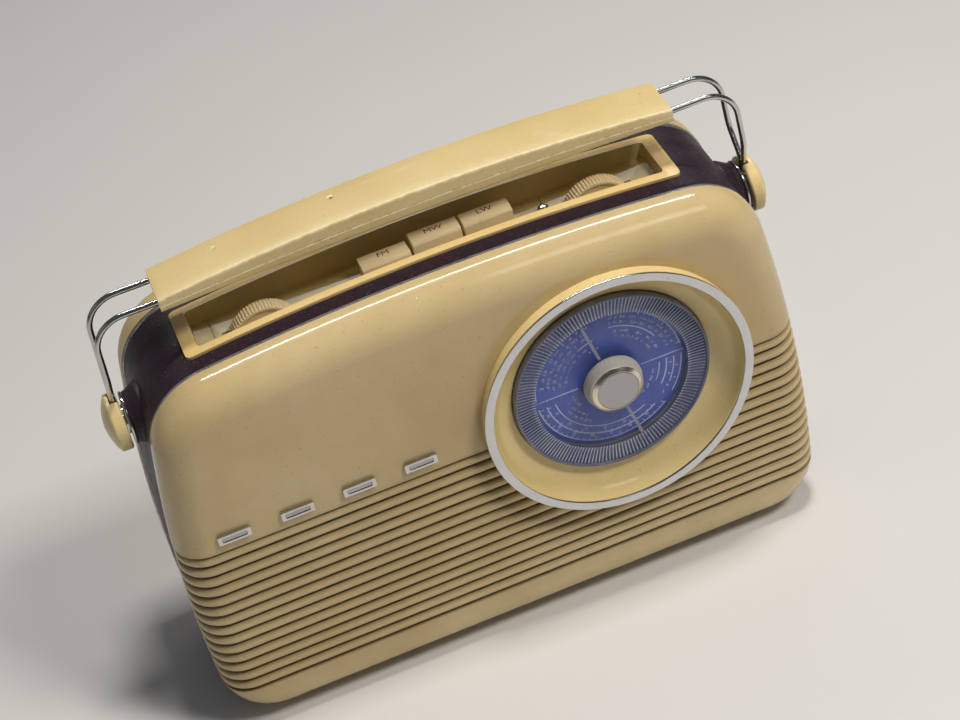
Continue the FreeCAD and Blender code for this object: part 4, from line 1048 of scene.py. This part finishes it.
def dial():
    c = (DX, Y(0), DZ)
    # moulded surround with its deep cove
    cove = arc_pts((53.4, -6.9), 13.9, 0, 90, 22)          # (r, d) from the ring down to the floor
    prof = [(71.6, 0.0, 0.3), (71.6, -6.5, 0.6), (67.3, -6.5, 0.7)]
    prof += [(r, d, 0) for r, d in cove[1:]]
    prof += [(53.4, 9.8, 0.3), (5.5, 9.8, 0), (5.5, 11.8, 0), (56, 11.8, 0.5), (61.5, 8.6, 1), (68.6, 3, 0.5), (68.6, 0, 0)]
    ob = lathe("dial_surround_moulded", soften(prof, 0.3, 4), "y", c, M_SURR, 200, sharp=32)
    use(ob, "case", "cream_plastic", "dial_surround")
    # chrome ring: flat with rolled edges
    prof = soften([(67.4, -6.5, 0.0), (67.4, -7.6, 0.55), (69.8, -7.7, 3.0), (72.2, -7.5, 0.6), (72.2, -6.5, 0.0)], 0.3, 6)
    ob = lathe("dial_ring_chrome", prof, "y", c, M_RING, 220, sharp=40)
    use(ob, "case", "chrome_trim", "dial_ring")
    # printed scale
    prof = soften([(6.5, 9.0, 0.1), (53.2, 9.0, 0.1), (53.2, 9.8, 0.1), (6.5, 9.8, 0.1)], 0.1, 2)
    prof = prof[:3] + [(30.0, 9.0), (42.3, 9.0)] + prof[3:]
    ob = lathe("scale_plate_disc", prof, "y", c, [M_SCALE, M_PLATE_EDGE], 160, sharp=32)
    for p in ob.data.polygons:
        if math.hypot(p.center.x * 1000 - DX, p.center.z * 1000 - DZ) > 42.3:
            p.material_index = 1
    use(ob, "case", "scale_blue", "scale_plate")
    # print: arcs, ticks and numbers
    v, f = [], []

    def quad(p):
        b = len(v)
        for (r, a) in p:
            v.append((DX + r * math.cos(a), Y(8.97), DZ + r * math.sin(a)))
        f.append((b, b + 1, b + 2, b + 3))

    def arc(r, a0, a1, w=0.28):
        w = w * 2.3
        n = max(4, int(abs(a1 - a0) / 2.2))
        for k in range(n):
            p, q = math.radians(a0 + (a1 - a0) * k / n), math.radians(a0 + (a1 - a0) * (k + 1) / n)
            quad([(r - w / 2, p), (r - w / 2, q), (r + w / 2, q), (r + w / 2, p)])

    def tick(r0, r1, deg, w=0.26):
        h = w * 0.9
        a = math.radians(deg)
        quad([(r0, a - h / r0), (r0, a + h / r0), (r1, a + h / r1), (r1, a - h / r1)])

    tick(17.4, 40.6, 0, 0.34)
    tick(17.4, 40.6, 180, 0.34)
    for r, a0, a1, w in ((39.6, 186, 312, 0.3), (35.2, 187, 306, 0.3), (30.6, 188, 300, 0.26),
                         (39.6, 6, 78, 0.26), (35.2, 330, 356, 0.26), (30.8, 28, 82, 0.26), (39.2, 322, 357, 0.26),
                         (31.2, 326, 356, 0.3), (39.8, 150, 178, 0.24), (27.2, 330, 354, 0.24), (26.6, 100, 120, 0.24),
                         (39.8, 96, 128, 0.24)):
        arc(r, a0, a1, w)
    for k in range(25):
        tick(38.4 if k % 4 else 37.4, 39.6, 188 + 5.1 * k, 0.22)
    for k in range(21):
        tick(34.2 if k % 4 else 33.4, 35.2, 189 + 5.7 * k, 0.22)
    for k in range(15):
        tick(38.5 if k % 5 else 37.4, 39.6, 7 + 5 * k, 0.22)
    # short dashes standing for worn print
    rng = np.random.default_rng(7)
    for r, a0, a1 in ((36.2, 8, 84), (33.2, 10, 82), (27.9, 14, 80), (24.8, 20, 74), (36.4, 100, 172), (33.2, 102, 172),
                      (30.0, 104, 172), (26.8, 124, 170), (23.6, 112, 168), (21.0, 190, 214), (24.4, 196, 232),
                      (27.4, 206, 240), (24.0, 318, 350), (35.0, 318, 328), (20.8, 96, 112), (23.8, 310, 316)):
        a = a0
        while a < a1:
            run = rng.uniform(3.0, 9.0) * 30 / r
            run = min(run, a1 - a)
            n = max(1, int(run / 2.0))
            for q in range(n):
                if rng.random() < 0.86:
                    s0 = a + run * q / n
                    s1 = a + run * (q + 0.74) / n
                    hgt = 0.6 if rng.random() < 0.7 else 0.85
                    p0, p1 = math.radians(s0), math.radians(s1)
                    quad([(r - hgt, p0), (r - hgt, p1), (r - hgt + 0.55, p1), (r - hgt + 0.55, p0)])
                    quad([(r - hgt, p0), (r - hgt, p0 + 0.42 / r), (r + hgt, p0 + 0.42 / r), (r + hgt, p0)])
                    if rng.random() < 0.6:
                        quad([(r + hgt - 0.4, p0), (r + hgt - 0.4, p1), (r + hgt, p1), (r + hgt, p0)])
            a += run + rng.uniform(1.6, 4.0)
    arcs = make("dial_print_arcs", v, f, M_PRINT, sharp=180, fix=False)
    bm = bmesh.new()
    bm.from_mesh(arcs.data)
    bmesh.ops.solidify(bm, geom=bm.faces[:], thickness=0.02 * MM)
    bmesh.ops.recalc_face_normals(bm, faces=bm.faces)
    bm.to_mesh(arcs.data)
    bm.free()
    parts = [arcs]
    labels = [(36.6, 196 + 16.5 * k, t, 2.1) for k, t in enumerate(("20", "22", "25", "28", "32", "38", "45"))]
    labels += [(32.4, 199 + 19 * k, t, 2.0) for k, t in enumerate(("12", "14", "16", "18", "20"))]
    labels += [(33.6, 338, "8", 2.1), (33.6, 350, "9", 2.1), (37.4, 334, "6", 2.1), (37.2, 346, "7", 2.1)]
    labels += [(27.9, 16 + 15.5 * k, t, 2.0) for k, t in enumerate(("88", "92", "96", "100"))]
    for k, (r, deg, t, size) in enumerate(labels):
        tm = text_mesh("n%02d" % k, t, size, M_PRINT, 0.01)
        aa = math.radians(deg)
        turn = aa - math.pi / 2 if deg < 180 else aa + math.pi / 2
        mx = Matrix.Translation(((DX + r * math.cos(aa)) * MM, Y(8.97) * MM, (DZ + r * math.sin(aa)) * MM))
        mx = mx @ Matrix.Rotation(-turn, 4, "Y") @ Matrix.Rotation(math.pi / 2, 4, "X")
        put(tm, mx)
        parts.append(tm)
    pr = join("dial_print", parts)
    use(pr, "case", "scale_blue")

    # clear tuning disc: flat centre, fluted ring, turned rim
    # painted light: the clear flutes get a darker copy of their colour for shade and a lighter copy for highlights
    M_SHADED_FLUTE_VALLEY = simple("dial_flute_valley_painted_shade", (88, 97, 138), (114, 122, 160), rough=0.12, metal=0.2, scale=60, bump=0.02, alpha=0.84)
    M_LIT_FLUTE_RIDGE = simple("dial_flute_ridge_painted_highlight", (214, 222, 240), (236, 240, 248), rough=0.16, metal=0.15, scale=60, bump=0.02, alpha=0.9)
    prof = [(3.0, 4.9), (20.0, 4.9), (41.0, 4.9), (41.45, 4.9), (41.5, 4.8), (42.2, 4.62), (44.0, 4.45), (46.0, 4.26), (48.0, 4.07),
            (51.0, 3.8), (51.25, 3.6), (51.4, 3.42), (51.6, 3.3), (51.9, 3.2), (52.3, 3.3), (52.62, 3.6), (52.8, 4.0),
            (52.8, 6.6), (52.5, 6.9), (50.4, 6.9), (50.2, 6.7), (50.0, 6.5), (41.4, 6.5), (20.0, 6.5), (3.0, 6.5)]
    segs = 960
    v, rows = [], []
    for i, (r, d) in enumerate(prof):
        rows.append(range(len(v), len(v) + segs))
        flute = 5 <= i <= 9
        for k in range(segs):
            a = TAU * k / segs
            dd = d
            if flute:
                ph = (k % 6) / 6.0
                dd += 0.95 * (abs(ph - 0.5) * 2) * min(1.0, (r - 41.6) / 1.2, (51.4 - r) / 0.4)
            v.append((DX + r * math.cos(a), Y(dd), DZ + r * math.sin(a)))
    f, idx = [], []
    for i in range(len(prof)):
        a, b = rows[i], rows[(i + 1) % len(prof)]
        mi = 0 if (i < 3 or i >= 22) else (1 if (3 <= i < 9 or i in (20, 21)) else 2)
        for k in range(segs):
            k2 = (k + 1) % segs
            f.append((a[k], a[k2], b[k2], b[k]))
            # one pair of faces in every six on the flutes takes the lighter copy, a painted highlight
            idx.append(3 if mi == 1 and 3 <= i < 9 and k % 6 in (0, 5) else mi)
    ob = make("tuning_disc_clear", v, f, [M_LENS, M_SHADED_FLUTE_VALLEY, M_RIM, M_LIT_FLUTE_RIDGE], idx=idx, sharp=28, fix=True)
    use(ob, "tuning", "clear_plastic", "tuning_disc")
    # knob: satin barrel, bright turned bevel, flat cap
    prof = soften([(3.0, 4.9, 0), (15.7, 4.9, 0.2), (15.7, 3.4, 0.3), (15.4, 2.6, 0.5), (14.2, -1.45, 0.25), (13.7, -1.7, 0.1), (13.5, -2.05, 0.1),
                   (13.3, -2.3, 0.3), (11.5, -3.5, 0.25), (11.25, -3.5, 0.05), (11.25, -2.0, 0), (3.0, -2.0, 0)], 0.2, 3)
    v0 = lathe("tuning_knob_turned", prof, "y", c, [M_SATIN, M_RIMB], 144, sharp=30)
    me = v0.data
    for p in me.polygons:
        ctr = p.center
        r = math.hypot(ctr.x * 1000 - DX, ctr.z * 1000 - DZ)
        if ctr.y * 1000 + YC < -1.95 and r > 11.1:
            p.material_index = 1
    use(v0, "tuning", "knob_satin", "tuning_knob")
    prof = soften([(0, -3.45, 0), (9.0, -3.5, 8), (10.8, -3.6, 0.4), (11.2, -3.3, 0.3), (11.2, -2.05, 0), (0, -2.05, 0)], 0.2, 4)
    ob = lathe("knob_cap_disc", prof, "y", c, M_CAP, 128, closed=False, sharp=40)
    use(ob, "tuning", "knob_satin", "knob_cap")


dial()


# ------------------------------------------------------------------ four plain chrome tablets on the front
def tablets():
    parts = []
    for cx in (-137.6, -104.6, -72.0, -39.4):
        pts = rrect(cx - 8.6, 132.2, cx + 8.6, 137.8, 0.9, 5)
        inn = rrect(cx - 6.4, 133.7, cx + 6.4, 136.3, 0.6, 5)
        ob = prism_xz("t", pts, Y(-2.0), Y(0.0), [M_TAB, M_CAP])
        cut = prism_xz("c", inn, Y(-3.0), Y(-1.5), M_CAP)
        boolean(ob, cut)
        bevel(ob, 0.45, 3, 40)
        shade(ob, 32)
        parts.append(ob)
    ob = join("front_tablets_chrome", parts)
    shade(ob, 32)
    use(ob, "case", "chrome_trim", "front_tablets")


tablets()

# ------------------------------------------------------------------ leathercloth band and beadings
def loop_surface(name, prof, mats, body, slot, nodes, groove_shade=None, step=2.0, closed=True, sharp=40, holes=None):
    """prof: (set-in, depth) pairs swept round the case outline"""
    base = outline(0.0, step)
    n = len(base)
    # outward normals of the outline
    P = np.array(base)
    T = np.roll(P, -1, 0) - np.roll(P, 1, 0)
    T /= np.linalg.norm(T, axis=1)[:, None]
    N = np.stack([T[:, 1], -T[:, 0]], 1)
    v, f = [], []
    for t, d in prof:
        for k in range(n):
            q = P[k] - N[k] * t
            v.append((q[0], Y(d), q[1]))
    m = len(prof)
    for i in range(m if closed else m - 1):
        i2 = (i + 1) % m
        for k in range(n):
            k2 = (k + 1) % n
            f.append((i * n + k, i * n + k2, i2 * n + k2, i2 * n + k))
    ob = make(name, v, f, mats, sharp=sharp, fix=True)
    if holes:
        for h in holes:
            boolean(ob, h)
        shade(ob, sharp)
    use(ob, body, slot, *nodes)
    return ob


def band():
    prof = [(0.6, 23.6), (0.6, 30.0), (0.6, 36.0), (0.6, 42.0), (0.6, 48.0), (0.6, 54.0), (0.6, 60.0), (0.6, 66.0), (0.6, 72.0),
            (0.6, 78.0), (0.6, 82.0), (0.85, 82.2), (1.8, 82.2), (1.8, 60.0), (1.8, 45.0), (1.8, 23.4), (0.85, 23.4)]
    hole = prism_xy("h", [(-126.8, Y(35.2)), (126.8, Y(35.2)), (126.8, Y(70.4)), (-126.8, Y(70.4))], 200, 245, M_LEATHER)
    bolts = []
    for s in (-1, 1):
        prof_c = [(0, 0), (6.0, 0), (6.0, 12), (0, 12)]
        b = lathe("h2", prof_c, "x", (s * 158 if s < 0 else 150, Y(54.3), 183.5), M_LEATHER, 40, closed=False)
        if s < 0:
            b.data.transform(Matrix.Translation((-0.006, 0, 0)))
        bolts.append(b)
    loop_surface("leathercloth_band", prof, M_LEATHER, "case", "leathercloth", ["band_cover"], sharp=50, holes=[hole] + bolts)

    # two edge beadings, half round with a fine outer lip
    parts = []
    for d0, d1 in ((21.0, 23.4), (82.2, 84.6)):
        mid_ = (d0 + d1) / 2
        prof = [(7.0, d0 + 0.03), (1.2, d0 + 0.03), (0.62, d0 + 0.12), (0.4, d0 + 0.35), (0.3, d0 + 0.7), (0.3, mid_), (0.3, d1 - 0.7),
                (0.4, d1 - 0.35), (0.62, d1 - 0.12), (1.2, d1 - 0.03), (7.0, d1 - 0.03)]
        base = outline(0.0, 2.0)
        P = np.array(base)
        T = np.roll(P, -1, 0) - np.roll(P, 1, 0)
        T /= np.linalg.norm(T, axis=1)[:, None]
        N = np.stack([T[:, 1], -T[:, 0]], 1)
        n = len(base)
        v, f = [], []
        for t, d in prof:
            for k in range(n):
                q = P[k] - N[k] * t
                v.append((q[0], Y(d), q[1]))
        m = len(prof)
        for i in range(m):
            for k in range(n):
                k2 = (k + 1) % n
                f.append((i * n + k, i * n + k2, ((i + 1) % m) * n + k2, ((i + 1) % m) * n + k))
        parts.append(make("bd", v, f, M_BEAD, sharp=35, fix=True))
    ob = join("edge_beadings_rolled", parts)
    shade(ob, 35)
    use(ob, "case", "dark_trim", "edge_beadings")


band()


# ------------------------------------------------------------------ control panel with wheels and keys
def top_arch_pts(x0, x1, off, n=40):
    return [(x0 + (x1 - x0) * k / n, arch(x0 + (x1 - x0) * k / n) + off) for k in range(n + 1)]


def panel():
    # lip and tray as one closed block, hollowed
    top = top_arch_pts(-129.4, 129.4, 1.0, 90)
    low = top_arch_pts(129.4, -129.4, -0.6, 90)
    lip = prism_xz("panel", top + low, Y(32.8), Y(72.8), [M_PANEL, M_PANEL_IN])
    mask = prism_xy("mask", rrect(-129.4, Y(32.8), 129.4, Y(72.8), 3.0, 8), 205, 240, M_PANEL)
    boolean(lip, mask, "INTERSECT")
    tray = prism_xz("tray", [(-126.65, 210.6), (126.65, 210.6)] + top_arch_pts(126.65, -126.65, 0.2, 40), Y(35.35), Y(70.25), M_PANEL)
    boolean(lip, tray, "UNION")
    # recess with drafted walls
    zt, zb = 232.0, 213.0
    o = rrect(-122.6, Y(37.6), 122.6, Y(68.0), 2.4, 8)
    i = rrect(-121.2, Y(38.5), 121.2, Y(67.1), 1.8, 8)
    n = len(o)
    k = (zt - zb) / (226.0 - zb)
    ov = [(b[0] + (a[0] - b[0]) * k, b[1] + (a[1] - b[1]) * k) for a, b in zip(o, i)]
    v = [(x, y, zb) for x, y in i] + [(x, y, zt) for x, y in ov]
    f = [tuple(range(n))[::-1], tuple(range(n, 2 * n))] + [(a, (a + 1) % n, n + (a + 1) % n, n + a) for a in range(n)]
    cut = make("cut", v, f, M_PANEL_IN, fix=True)
    boolean(lip, cut)
    for cx in (-88, 88):
        boolean(lip, prism_xy("w", rrect(cx - 20.6, Y(42.9), cx + 20.6, Y(53.1), 0.4, 3), 205, 218, M_PANEL_IN))
    boolean(lip, prism_xy("k", rrect(-35.2, Y(43.6), 45.2, Y(55.2), 0.4, 3), 205, 218, M_PANEL_IN))
    for cx in (-88.0 - 24.6, 88.0 - 24.6):
        boolean(lip, prism_xy("g", [(cx - 0.35, Y(39.2)), (cx + 0.35, Y(39.2)), (cx + 0.35, Y(66.6)), (cx - 0.35, Y(66.6))], 212.3, 218, M_PANEL_IN))
    bevel(lip, 0.5, 3, 32)
    for p in lip.data.polygons:
        c = p.center * 1000
        if abs(p.normal.z) > 0.9 and c.z < 213.6:
            p.material_index = 1
    shade(lip, 30)
    use(lip, "case", "cream_plastic", "control_panel")


panel()


def wheel(name, cx, body, node):
    """thumbwheel with milled edge, dished faces"""
    segs, teeth = 768, 64
    prof = [(0.0, 0.6), (5.0, 0.6), (6.0, 0.9), (14.6, 0.9), (15.6, 0.55), (16.2, 0.12), (16.9, 0.0), (17.5, 0.1), (18.0, 0.55), (18.2, 1.1),
            (18.2, 2.6), (18.2, 4.0), (18.2, 5.4), (18.2, 6.9), (18.0, 7.45), (17.5, 7.9), (16.9, 8.0), (16.2, 7.88), (15.6, 7.45), (14.6, 7.1),
            (6.0, 7.1), (5.0, 7.4), (0.0, 7.4)]
    v, rows = [], []
    for r, h in prof:
        if r == 0:
            rows.append([len(v)])
            v.append((cx, Y(44) + h, 206.9))
            continue
        rows.append(list(range(len(v), len(v) + segs)))
        for k in range(segs):
            a = TAU * k / segs
            rr = r
            if r > 17.3:
                ph = (k % 12) / 12.0
                rr = r + 0.2 - 0.75 * (0.5 - 0.5 * math.cos(TAU * ph)) ** 2 * min(1.0, (r - 17.3) / 0.5)
            v.append((cx + rr * math.cos(a), Y(44) + h, 206.9 + rr * math.sin(a)))
    f = []
    for a, b in zip(rows[:-1], rows[1:]):
        for k in range(segs):
            k2 = (k + 1) % segs
            if len(a) == 1:
                f.append((a[0], b[k2], b[k]))
            elif len(b) == 1:
                f.append((a[k], a[k2], b[0]))
            else:
                f.append((a[k], a[k2], b[k2], b[k]))
    ob = make(name + "_rim", v, f, M_KEYS, sharp=40, fix=True)
    # spindle kept from the control's side
    lo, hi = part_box(node)
    y0, y1 = lo.y * 1000, hi.y * 1000
    parts = [ob]
    if y1 > Y(52) + 0.4:
        parts.append(lathe("sp", soften([(0, Y(51.2), 0), (3.0, Y(51.2), 0), (3.0, y1, 0.3), (0, y1, 0)], 0.2, 2), "y", (cx, 0, 206.9), M_BRASS, 32, closed=False))
    if y0 < Y(44) - 0.4:
        parts.append(lathe("sp", soften([(0, y0, 0), (3.0, y0, 0.3), (3.0, Y(44.8), 0), (0, Y(44.8), 0)], 0.2, 2), "y", (cx, 0, 206.9), M_BRASS, 32, closed=False))
    if len(parts) > 1:
        ob = join(name, parts)
        shade(ob, 40)
    else:
        ob.name = name
    use(ob, body, "cream_keys", node)


wheel("volume_thumbwheel", -88, "volume", "volume_wheel")
wheel("tone_thumbwheel", 88, "tone", "tone_wheel")


def key(name, cx, top, body, node, label):
    lo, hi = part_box(node)
    x0, x1 = cx - 12.8, cx + 12.8
    zb = lo.z * 1000
    prof = [(Y(44.0), top - 19.4), (Y(44.35), top - 1.7), (Y(45.9), top - 0.12), (Y(50.5), top), (Y(54.6), top - 0.1), (Y(54.8), top - 19.4)]
    ob = prism_yz(name, prof, x0, x1, [M_KEYS, M_BLACK])
    bevel(ob, 0.42, 3, 22)
    shade(ob, 30)
    stem = None
    if zb < 205:
        stem = prism_xy("stem", rrect(cx - 3.0, Y(47.4), cx + 3.0, Y(51.4), 0.4, 2), zb, top - 19.0, M_KEYS)
    tm = text_mesh("lbl", label, 4.8, M_BLACK, 0.01)
    # the mark is on the flat top, read from the front
    put(tm, Matrix.Translation((cx * MM, Y(50.6) * MM, (top + 0.012) * MM)) @ Matrix.Scale(1.12, 4, (1, 0, 0)))
    parts = [ob, tm] + ([stem] if stem else [])
    ob = join(name, parts)
    shade(ob, 30)
    use(ob, body, "cream_keys", node)


for _nm, _cx, _top, _body, _label in (("fm", -22, 225.6, "fm_key", "FM"), ("mw", 5, 229.0, "mw_key", "MW"), ("lw", 32, 229.0, "lw_key", "LW")):
    key("key_cap_" + _nm, _cx, _top, _body, "key_" + _nm, _label)


def spring(word, cx, top, joint=None):
    """wound coil between the switch bank and its key, closed at both ends"""
    z0, z1, wire, rad = 196.05, top - 19.45, 0.45, 4.5
    z0, z1 = z0 + wire, z1 - wire
    path, turns, dead = [], 8.0, 0.9
    n = int(turns * 20)
    for k in range(n + 1):
        t = turns * k / n
        pitch = 2 * wire + 0.02
        if t < dead:
            z = z0 + pitch * t * 0.9
        elif t > turns - dead:
            z = z1 - pitch * (turns - t) * 0.9
        else:
            a, b = z0 + pitch * dead * 0.9, z1 - pitch * dead * 0.9
            z = a + (b - a) * (t - dead) / (turns - 2 * dead)
        path.append((cx + rad * math.cos(TAU * t), Y(49.4) + rad * math.sin(TAU * t), z))
    ob = tube("coil_spring_" + word, path, wire, M_STEEL, 10)
    shade(ob, 50)
    use(ob, "case", "steel_plate", "spring_" + word)
    if joint:
        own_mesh(ob)


spring("fm", -22, 225.6)
spring("mw", 5, 229.0, "mw_press")
spring("lw", 32, 229.0, "lw_press")

# ------------------------------------------------------------------ carrying handle
HY, HZ = Y(54.3), 183.5


def z_arc(x, z_end, z_mid, half=132.5):
    h = z_mid - z_end
    r = (half * half + h * h) / (2 * h)
    return z_mid - r + math.sqrt(r * r - x * x)


def grip_half(name, section, mats, node):
    """section(x) gives a closed ring of (y, z) points, the same count at every x"""
    xs = [-132.5 + 265.0 * k / 72 for k in range(73)]
    v, f = [], []
    for x in xs:
        ring = section(x)
        m = len(ring)
        v += [(x, y, z) for y, z in ring]
    for i in range(len(xs) - 1):
        for k in range(m):
            k2 = (k + 1) % m
            f.append((i * m + k, i * m + k2, (i + 1) * m + k2, (i + 1) * m + k))
    f.append(tuple(range(m))[::-1])
    f.append(tuple((len(xs) - 1) * m + k for k in range(m)))
    ob = make(name, v, f, mats, sharp=40, fix=True)
    bevel(ob, 0.8, 3, 62)
    shade(ob, 42)
    # pale bands along the moulding line and the front top edge: partly rubbed wear, partly a painted highlight
    at_ = ob.data.attributes.new("wear_and_highlight", "FLOAT", "POINT")
    for k, vv in enumerate(ob.data.vertices):
        x, y, z = (c * 1000 for c in vv.co)
        if abs(y - HY) < 13.6:
            w = 0.0
        else:
            dz, dt = abs(z - z_arc(x, 249.6, 254.2)), z_arc(x, 253.6, 261.5) - z
            w = 1.0 if dz < 0.55 else (0.6 if dt < 1.5 else 0.0)
        at_.data[k].value = w
    use(ob, "handle", "cream_grip", node)
    return ob


def upper_section(x):
    zt, zp = z_arc(x, 253.6, 261.5), z_arc(x, 249.6, 254.2)
    b = 14.4
    pts = [(-b + 0.35, zp + 0.02, 0), (-b, zp + 0.4, 0.1), (-b, zp + 0.7, 0), (-b + 0.04, zp + 1.2, 0), (-b + 0.11, zt - 2.3, 0),
           (-b + 0.12, zt - 0.25, 1.0), (-7.0, zt - 0.02, 6), (0.0, zt, 8), (7.0, zt - 0.02, 6),
           (b - 0.12, zt - 0.25, 1.0), (b - 0.11, zt - 2.3, 0), (b - 0.04, zp + 1.2, 0), (b, zp + 0.7, 0), (b, zp + 0.4, 0.1), (b - 0.35, zp + 0.02, 0)]
    return [(HY + y, z) for y, z in soften(pts, 0.2, 5)]


def lower_section(x):
    zb, zp = z_arc(x, 246.2, 248.4), z_arc(x, 249.6, 254.2)
    b = 14.4
    pts = [(b - 0.35, zp - 0.02, 0), (b, zp - 0.4, 0.1), (b, zp - 0.7, 0), (b - 0.04, zp - 1.2, 0), (b - 0.15, zb + 0.2, 1.8), (7.0, zb, 6), (-7.0, zb, 6), (-b + 0.15, zb + 0.2, 1.8),
           (-b + 0.04, zp - 1.2, 0), (-b, zp - 0.7, 0), (-b, zp - 0.4, 0.1), (-b + 0.35, zp - 0.02, 0)]
    return [(HY + y, z) for y, z in soften(pts, 0.2, 5)]


grip_half("grip_upper_moulded", upper_section, M_GRIP, "grip_upper")
grip_half("grip_lower_moulded", lower_section, M_GRIP, "grip_lower")


def rods():
    parts = []
    for sx in (-1, 1):
        for sy in (-1, 1):
            pts = [(sx * 112.0, HY + sy * 9.5, 249.6), (sx * 166.2, HY + sy * 9.5, 249.6), (sx * 167.9, HY + sy * 9.1, 216.0),
                   (sx * 169.1, HY + sy * 1.75, 199.5), (sx * 169.3, HY + sy * 1.75, 188.4)]
            parts.append(tube("rod", round_path(pts, [25.5, 20.0, 9.0], 1.6), 1.5, M_CHROME, 22))
    ob = join("handle_rods_chrome", parts)
    shade(ob, 50)
    use(ob, "handle", "chrome_trim", "handle_rods")


rods()


def pivot_knobs():
    parts = []
    for s in (-1, 1):
        # turned knob: flat back, small step, spherical face
        prof = [(0.0, 167.25, 0), (14.0, 167.25, 0.4), (15.0, 168.0, 0.6), (15.0, 172.6, 0.6), (14.6, 173.4, 0.4)]
        R = (14.6 ** 2 + 4.2 ** 2) / (2 * 4.2)
        dome = [(math.sin(a) * R, 177.6 - R + R * math.cos(a)) for a in np.linspace(math.asin(14.4 / R), 0.0, 14)]
        prof = soften(prof, 0.3, 4, closed=False) + [(r, h) for r, h in dome[:-1]] + [(0.0, 177.6)]
        ob = lathe("kn", [(r, s * h) for r, h in prof], "x", (0, HY, HZ), [M_KNOB_CREAM], 96, closed=False, sharp=40)
        slot = prism_yz("sl", rrect(HY - 3.7, HZ + 4.0, HY + 3.7, HZ + 20.0, 1.2, 4), 166.0 * s, 171.2 * s, M_KNOB_CREAM)
        boolean(ob, slot)
        bevel(ob, 0.35, 2, 50)
        shade(ob, 38)
        parts.append(ob)
    ob = join("pivot_knobs_turned", parts)
    shade(ob, 38)
    use(ob, "handle", "cream_grip", "pivot_knobs")


pivot_knobs()


def pivot_bosses():
    """leathercloth cones that run out of the band and end in a bright collar behind each knob"""
    parts = []
    for s in (-1, 1):
        cone = [(2.95, 150.0, 0), (16.9, 150.0, 0), (16.7, 157.2, 3.0), (13.9, 162.0, 4.0), (13.0, 164.4, 0.3), (2.95, 164.4, 0)]
        a = lathe("bs", [(r, s * h) for r, h in soften(cone, 0.3, 6)], "x", (0, HY, HZ), [M_LEATHER, M_CHROME], 96, sharp=40)
        boolean(a, prism_xz("core", outline(1.7, 2.0), Y(20), Y(90), M_LEATHER))
        ring = [(2.95, 164.5, 0), (13.9, 164.5, 0.3), (13.9, 165.7, 0.5), (12.4, 166.0, 0.2), (2.95, 166.0, 0)]
        b = lathe("bc", [(r, s * h) for r, h in soften(ring, 0.2, 4)], "x", (0, HY, HZ), [M_CHROME], 96, sharp=35)
        parts += [a, b]
    ob = join("pivot_bosses_covered", parts)
    shade(ob, 38)
    use(ob, "case", "leathercloth", "pivot_bosses")


pivot_bosses()

# ------------------------------------------------------------------ floor, light, camera
def floor():
    n = 24
    v, f = [], []
    size = 4200.0
    for i in range(n + 1):
        for j in range(n + 1):
            v.append((-size / 2 + size * i / n, -size / 2 + size * j / n, 0.0))
    for i in range(n):
        for j in range(n):
            a = i * (n + 1) + j
            f.append((a, a + n + 1, a + n + 2, a + 1))
    m = Mat("floor_pale", rough=0.7)
    m.colour(m.mix(m.noise(3, 2, 0.5), lin((226, 226, 228)), lin((231, 231, 232))))
    m.normal(m.bump(m.noise(700, 2, 0.5), 0.03, 0.0003))
    ob = make("studio_floor", v, f, m.m)


floor()


def area(name, where, aim, size, power, size_y=None, colour=(1, 1, 1)):
    l = bpy.data.lights.new(name, "AREA")
    l.shape = "RECTANGLE"
    l.size = size
    l.size_y = size_y or size
    l.energy = power
    l.color = colour
    ob = bpy.data.objects.new(name, l)
    bpy.context.scene.collection.objects.link(ob)
    ob.location = where
    d = (Vector(where) - Vector(aim)).normalized()
    x = Vector((1, 0, 0))
    x = (x - d * x.dot(d)).normalized()
    y = d.cross(x)
    ob.rotation_euler = Matrix((x, y, d)).transposed().to_euler()
    return ob


mid = Vector((0.0, 0.0, 0.13))
sd = Vector((0.14, 0.53, 0.84)).normalized()
strip = area("strip_light", mid + 1.35 * sd, mid, 1.1, 11.0, 0.05, (1.0, 0.99, 0.97))
strip.visible_diffuse = False
key = area("key_soft", mid + 2.1 * Vector((0.42, -0.4, 0.81)).normalized(), mid, 0.44, 20.5, 0.44, (1.0, 0.95, 0.87))
key.visible_glossy = False
over = area("overhead_key", mid + 2.0 * Vector((0.16, -0.03, 1.0)).normalized(), mid, 0.34, 20.0, 0.34, (1.0, 0.95, 0.86))
over.visible_glossy = False
win = area("window_soft", mid + 1.5 * Vector((0.4, -0.34, 0.85)).normalized(), mid, 0.72, 2.0, 0.36, (0.94, 1.0, 0.97))
win.visible_diffuse = False
area("front_fill", (1.2, -1.5, 1.0), mid, 0.9, 0.4, 0.7, (1.0, 0.95, 0.9))
area("left_fill", (-1.5, -0.3, 0.9), mid, 0.9, 0.5, 0.7, (0.95, 0.96, 1.0))

world = bpy.data.worlds.new("studio")
world.use_nodes = True
world.node_tree.nodes["Background"].inputs[0].default_value = (0.92, 0.94, 1.0, 1)
world.node_tree.nodes["Background"].inputs[1].default_value = 0.08
bpy.context.scene.world = world

a, e, roll = math.radians(-10.39), math.radians(39.51), math.radians(-14.36)
back = Vector((math.sin(a) * math.cos(e), -math.cos(a) * math.cos(e), math.sin(e)))
right = Vector((0, 0, 1)).cross(back).normalized()
up = back.cross(right)
r2 = math.cos(roll) * right + math.sin(roll) * up
u2 = -math.sin(roll) * right + math.cos(roll) * up
pos = -32.69 * r2 + 137.29 * u2 + 1253.0 * back
pos.y -= YC
cam = bpy.data.cameras.new("camera")
cam.sensor_width = 36.0
cam.lens = 88.03
cam.clip_start = 0.01
cam.clip_end = 50
cob = bpy.data.objects.new("camera", cam)
bpy.context.scene.collection.objects.link(cob)
mx = Matrix((r2, u2, back)).transposed().to_4x4()
mx.translation = pos * MM
cob.matrix_world = mx
bpy.context.scene.camera = cob
bpy.context.scene.view_settings.view_transform = "Standard"
bpy.context.scene.view_settings.look = "None"

bpy.context.view_layer.update()
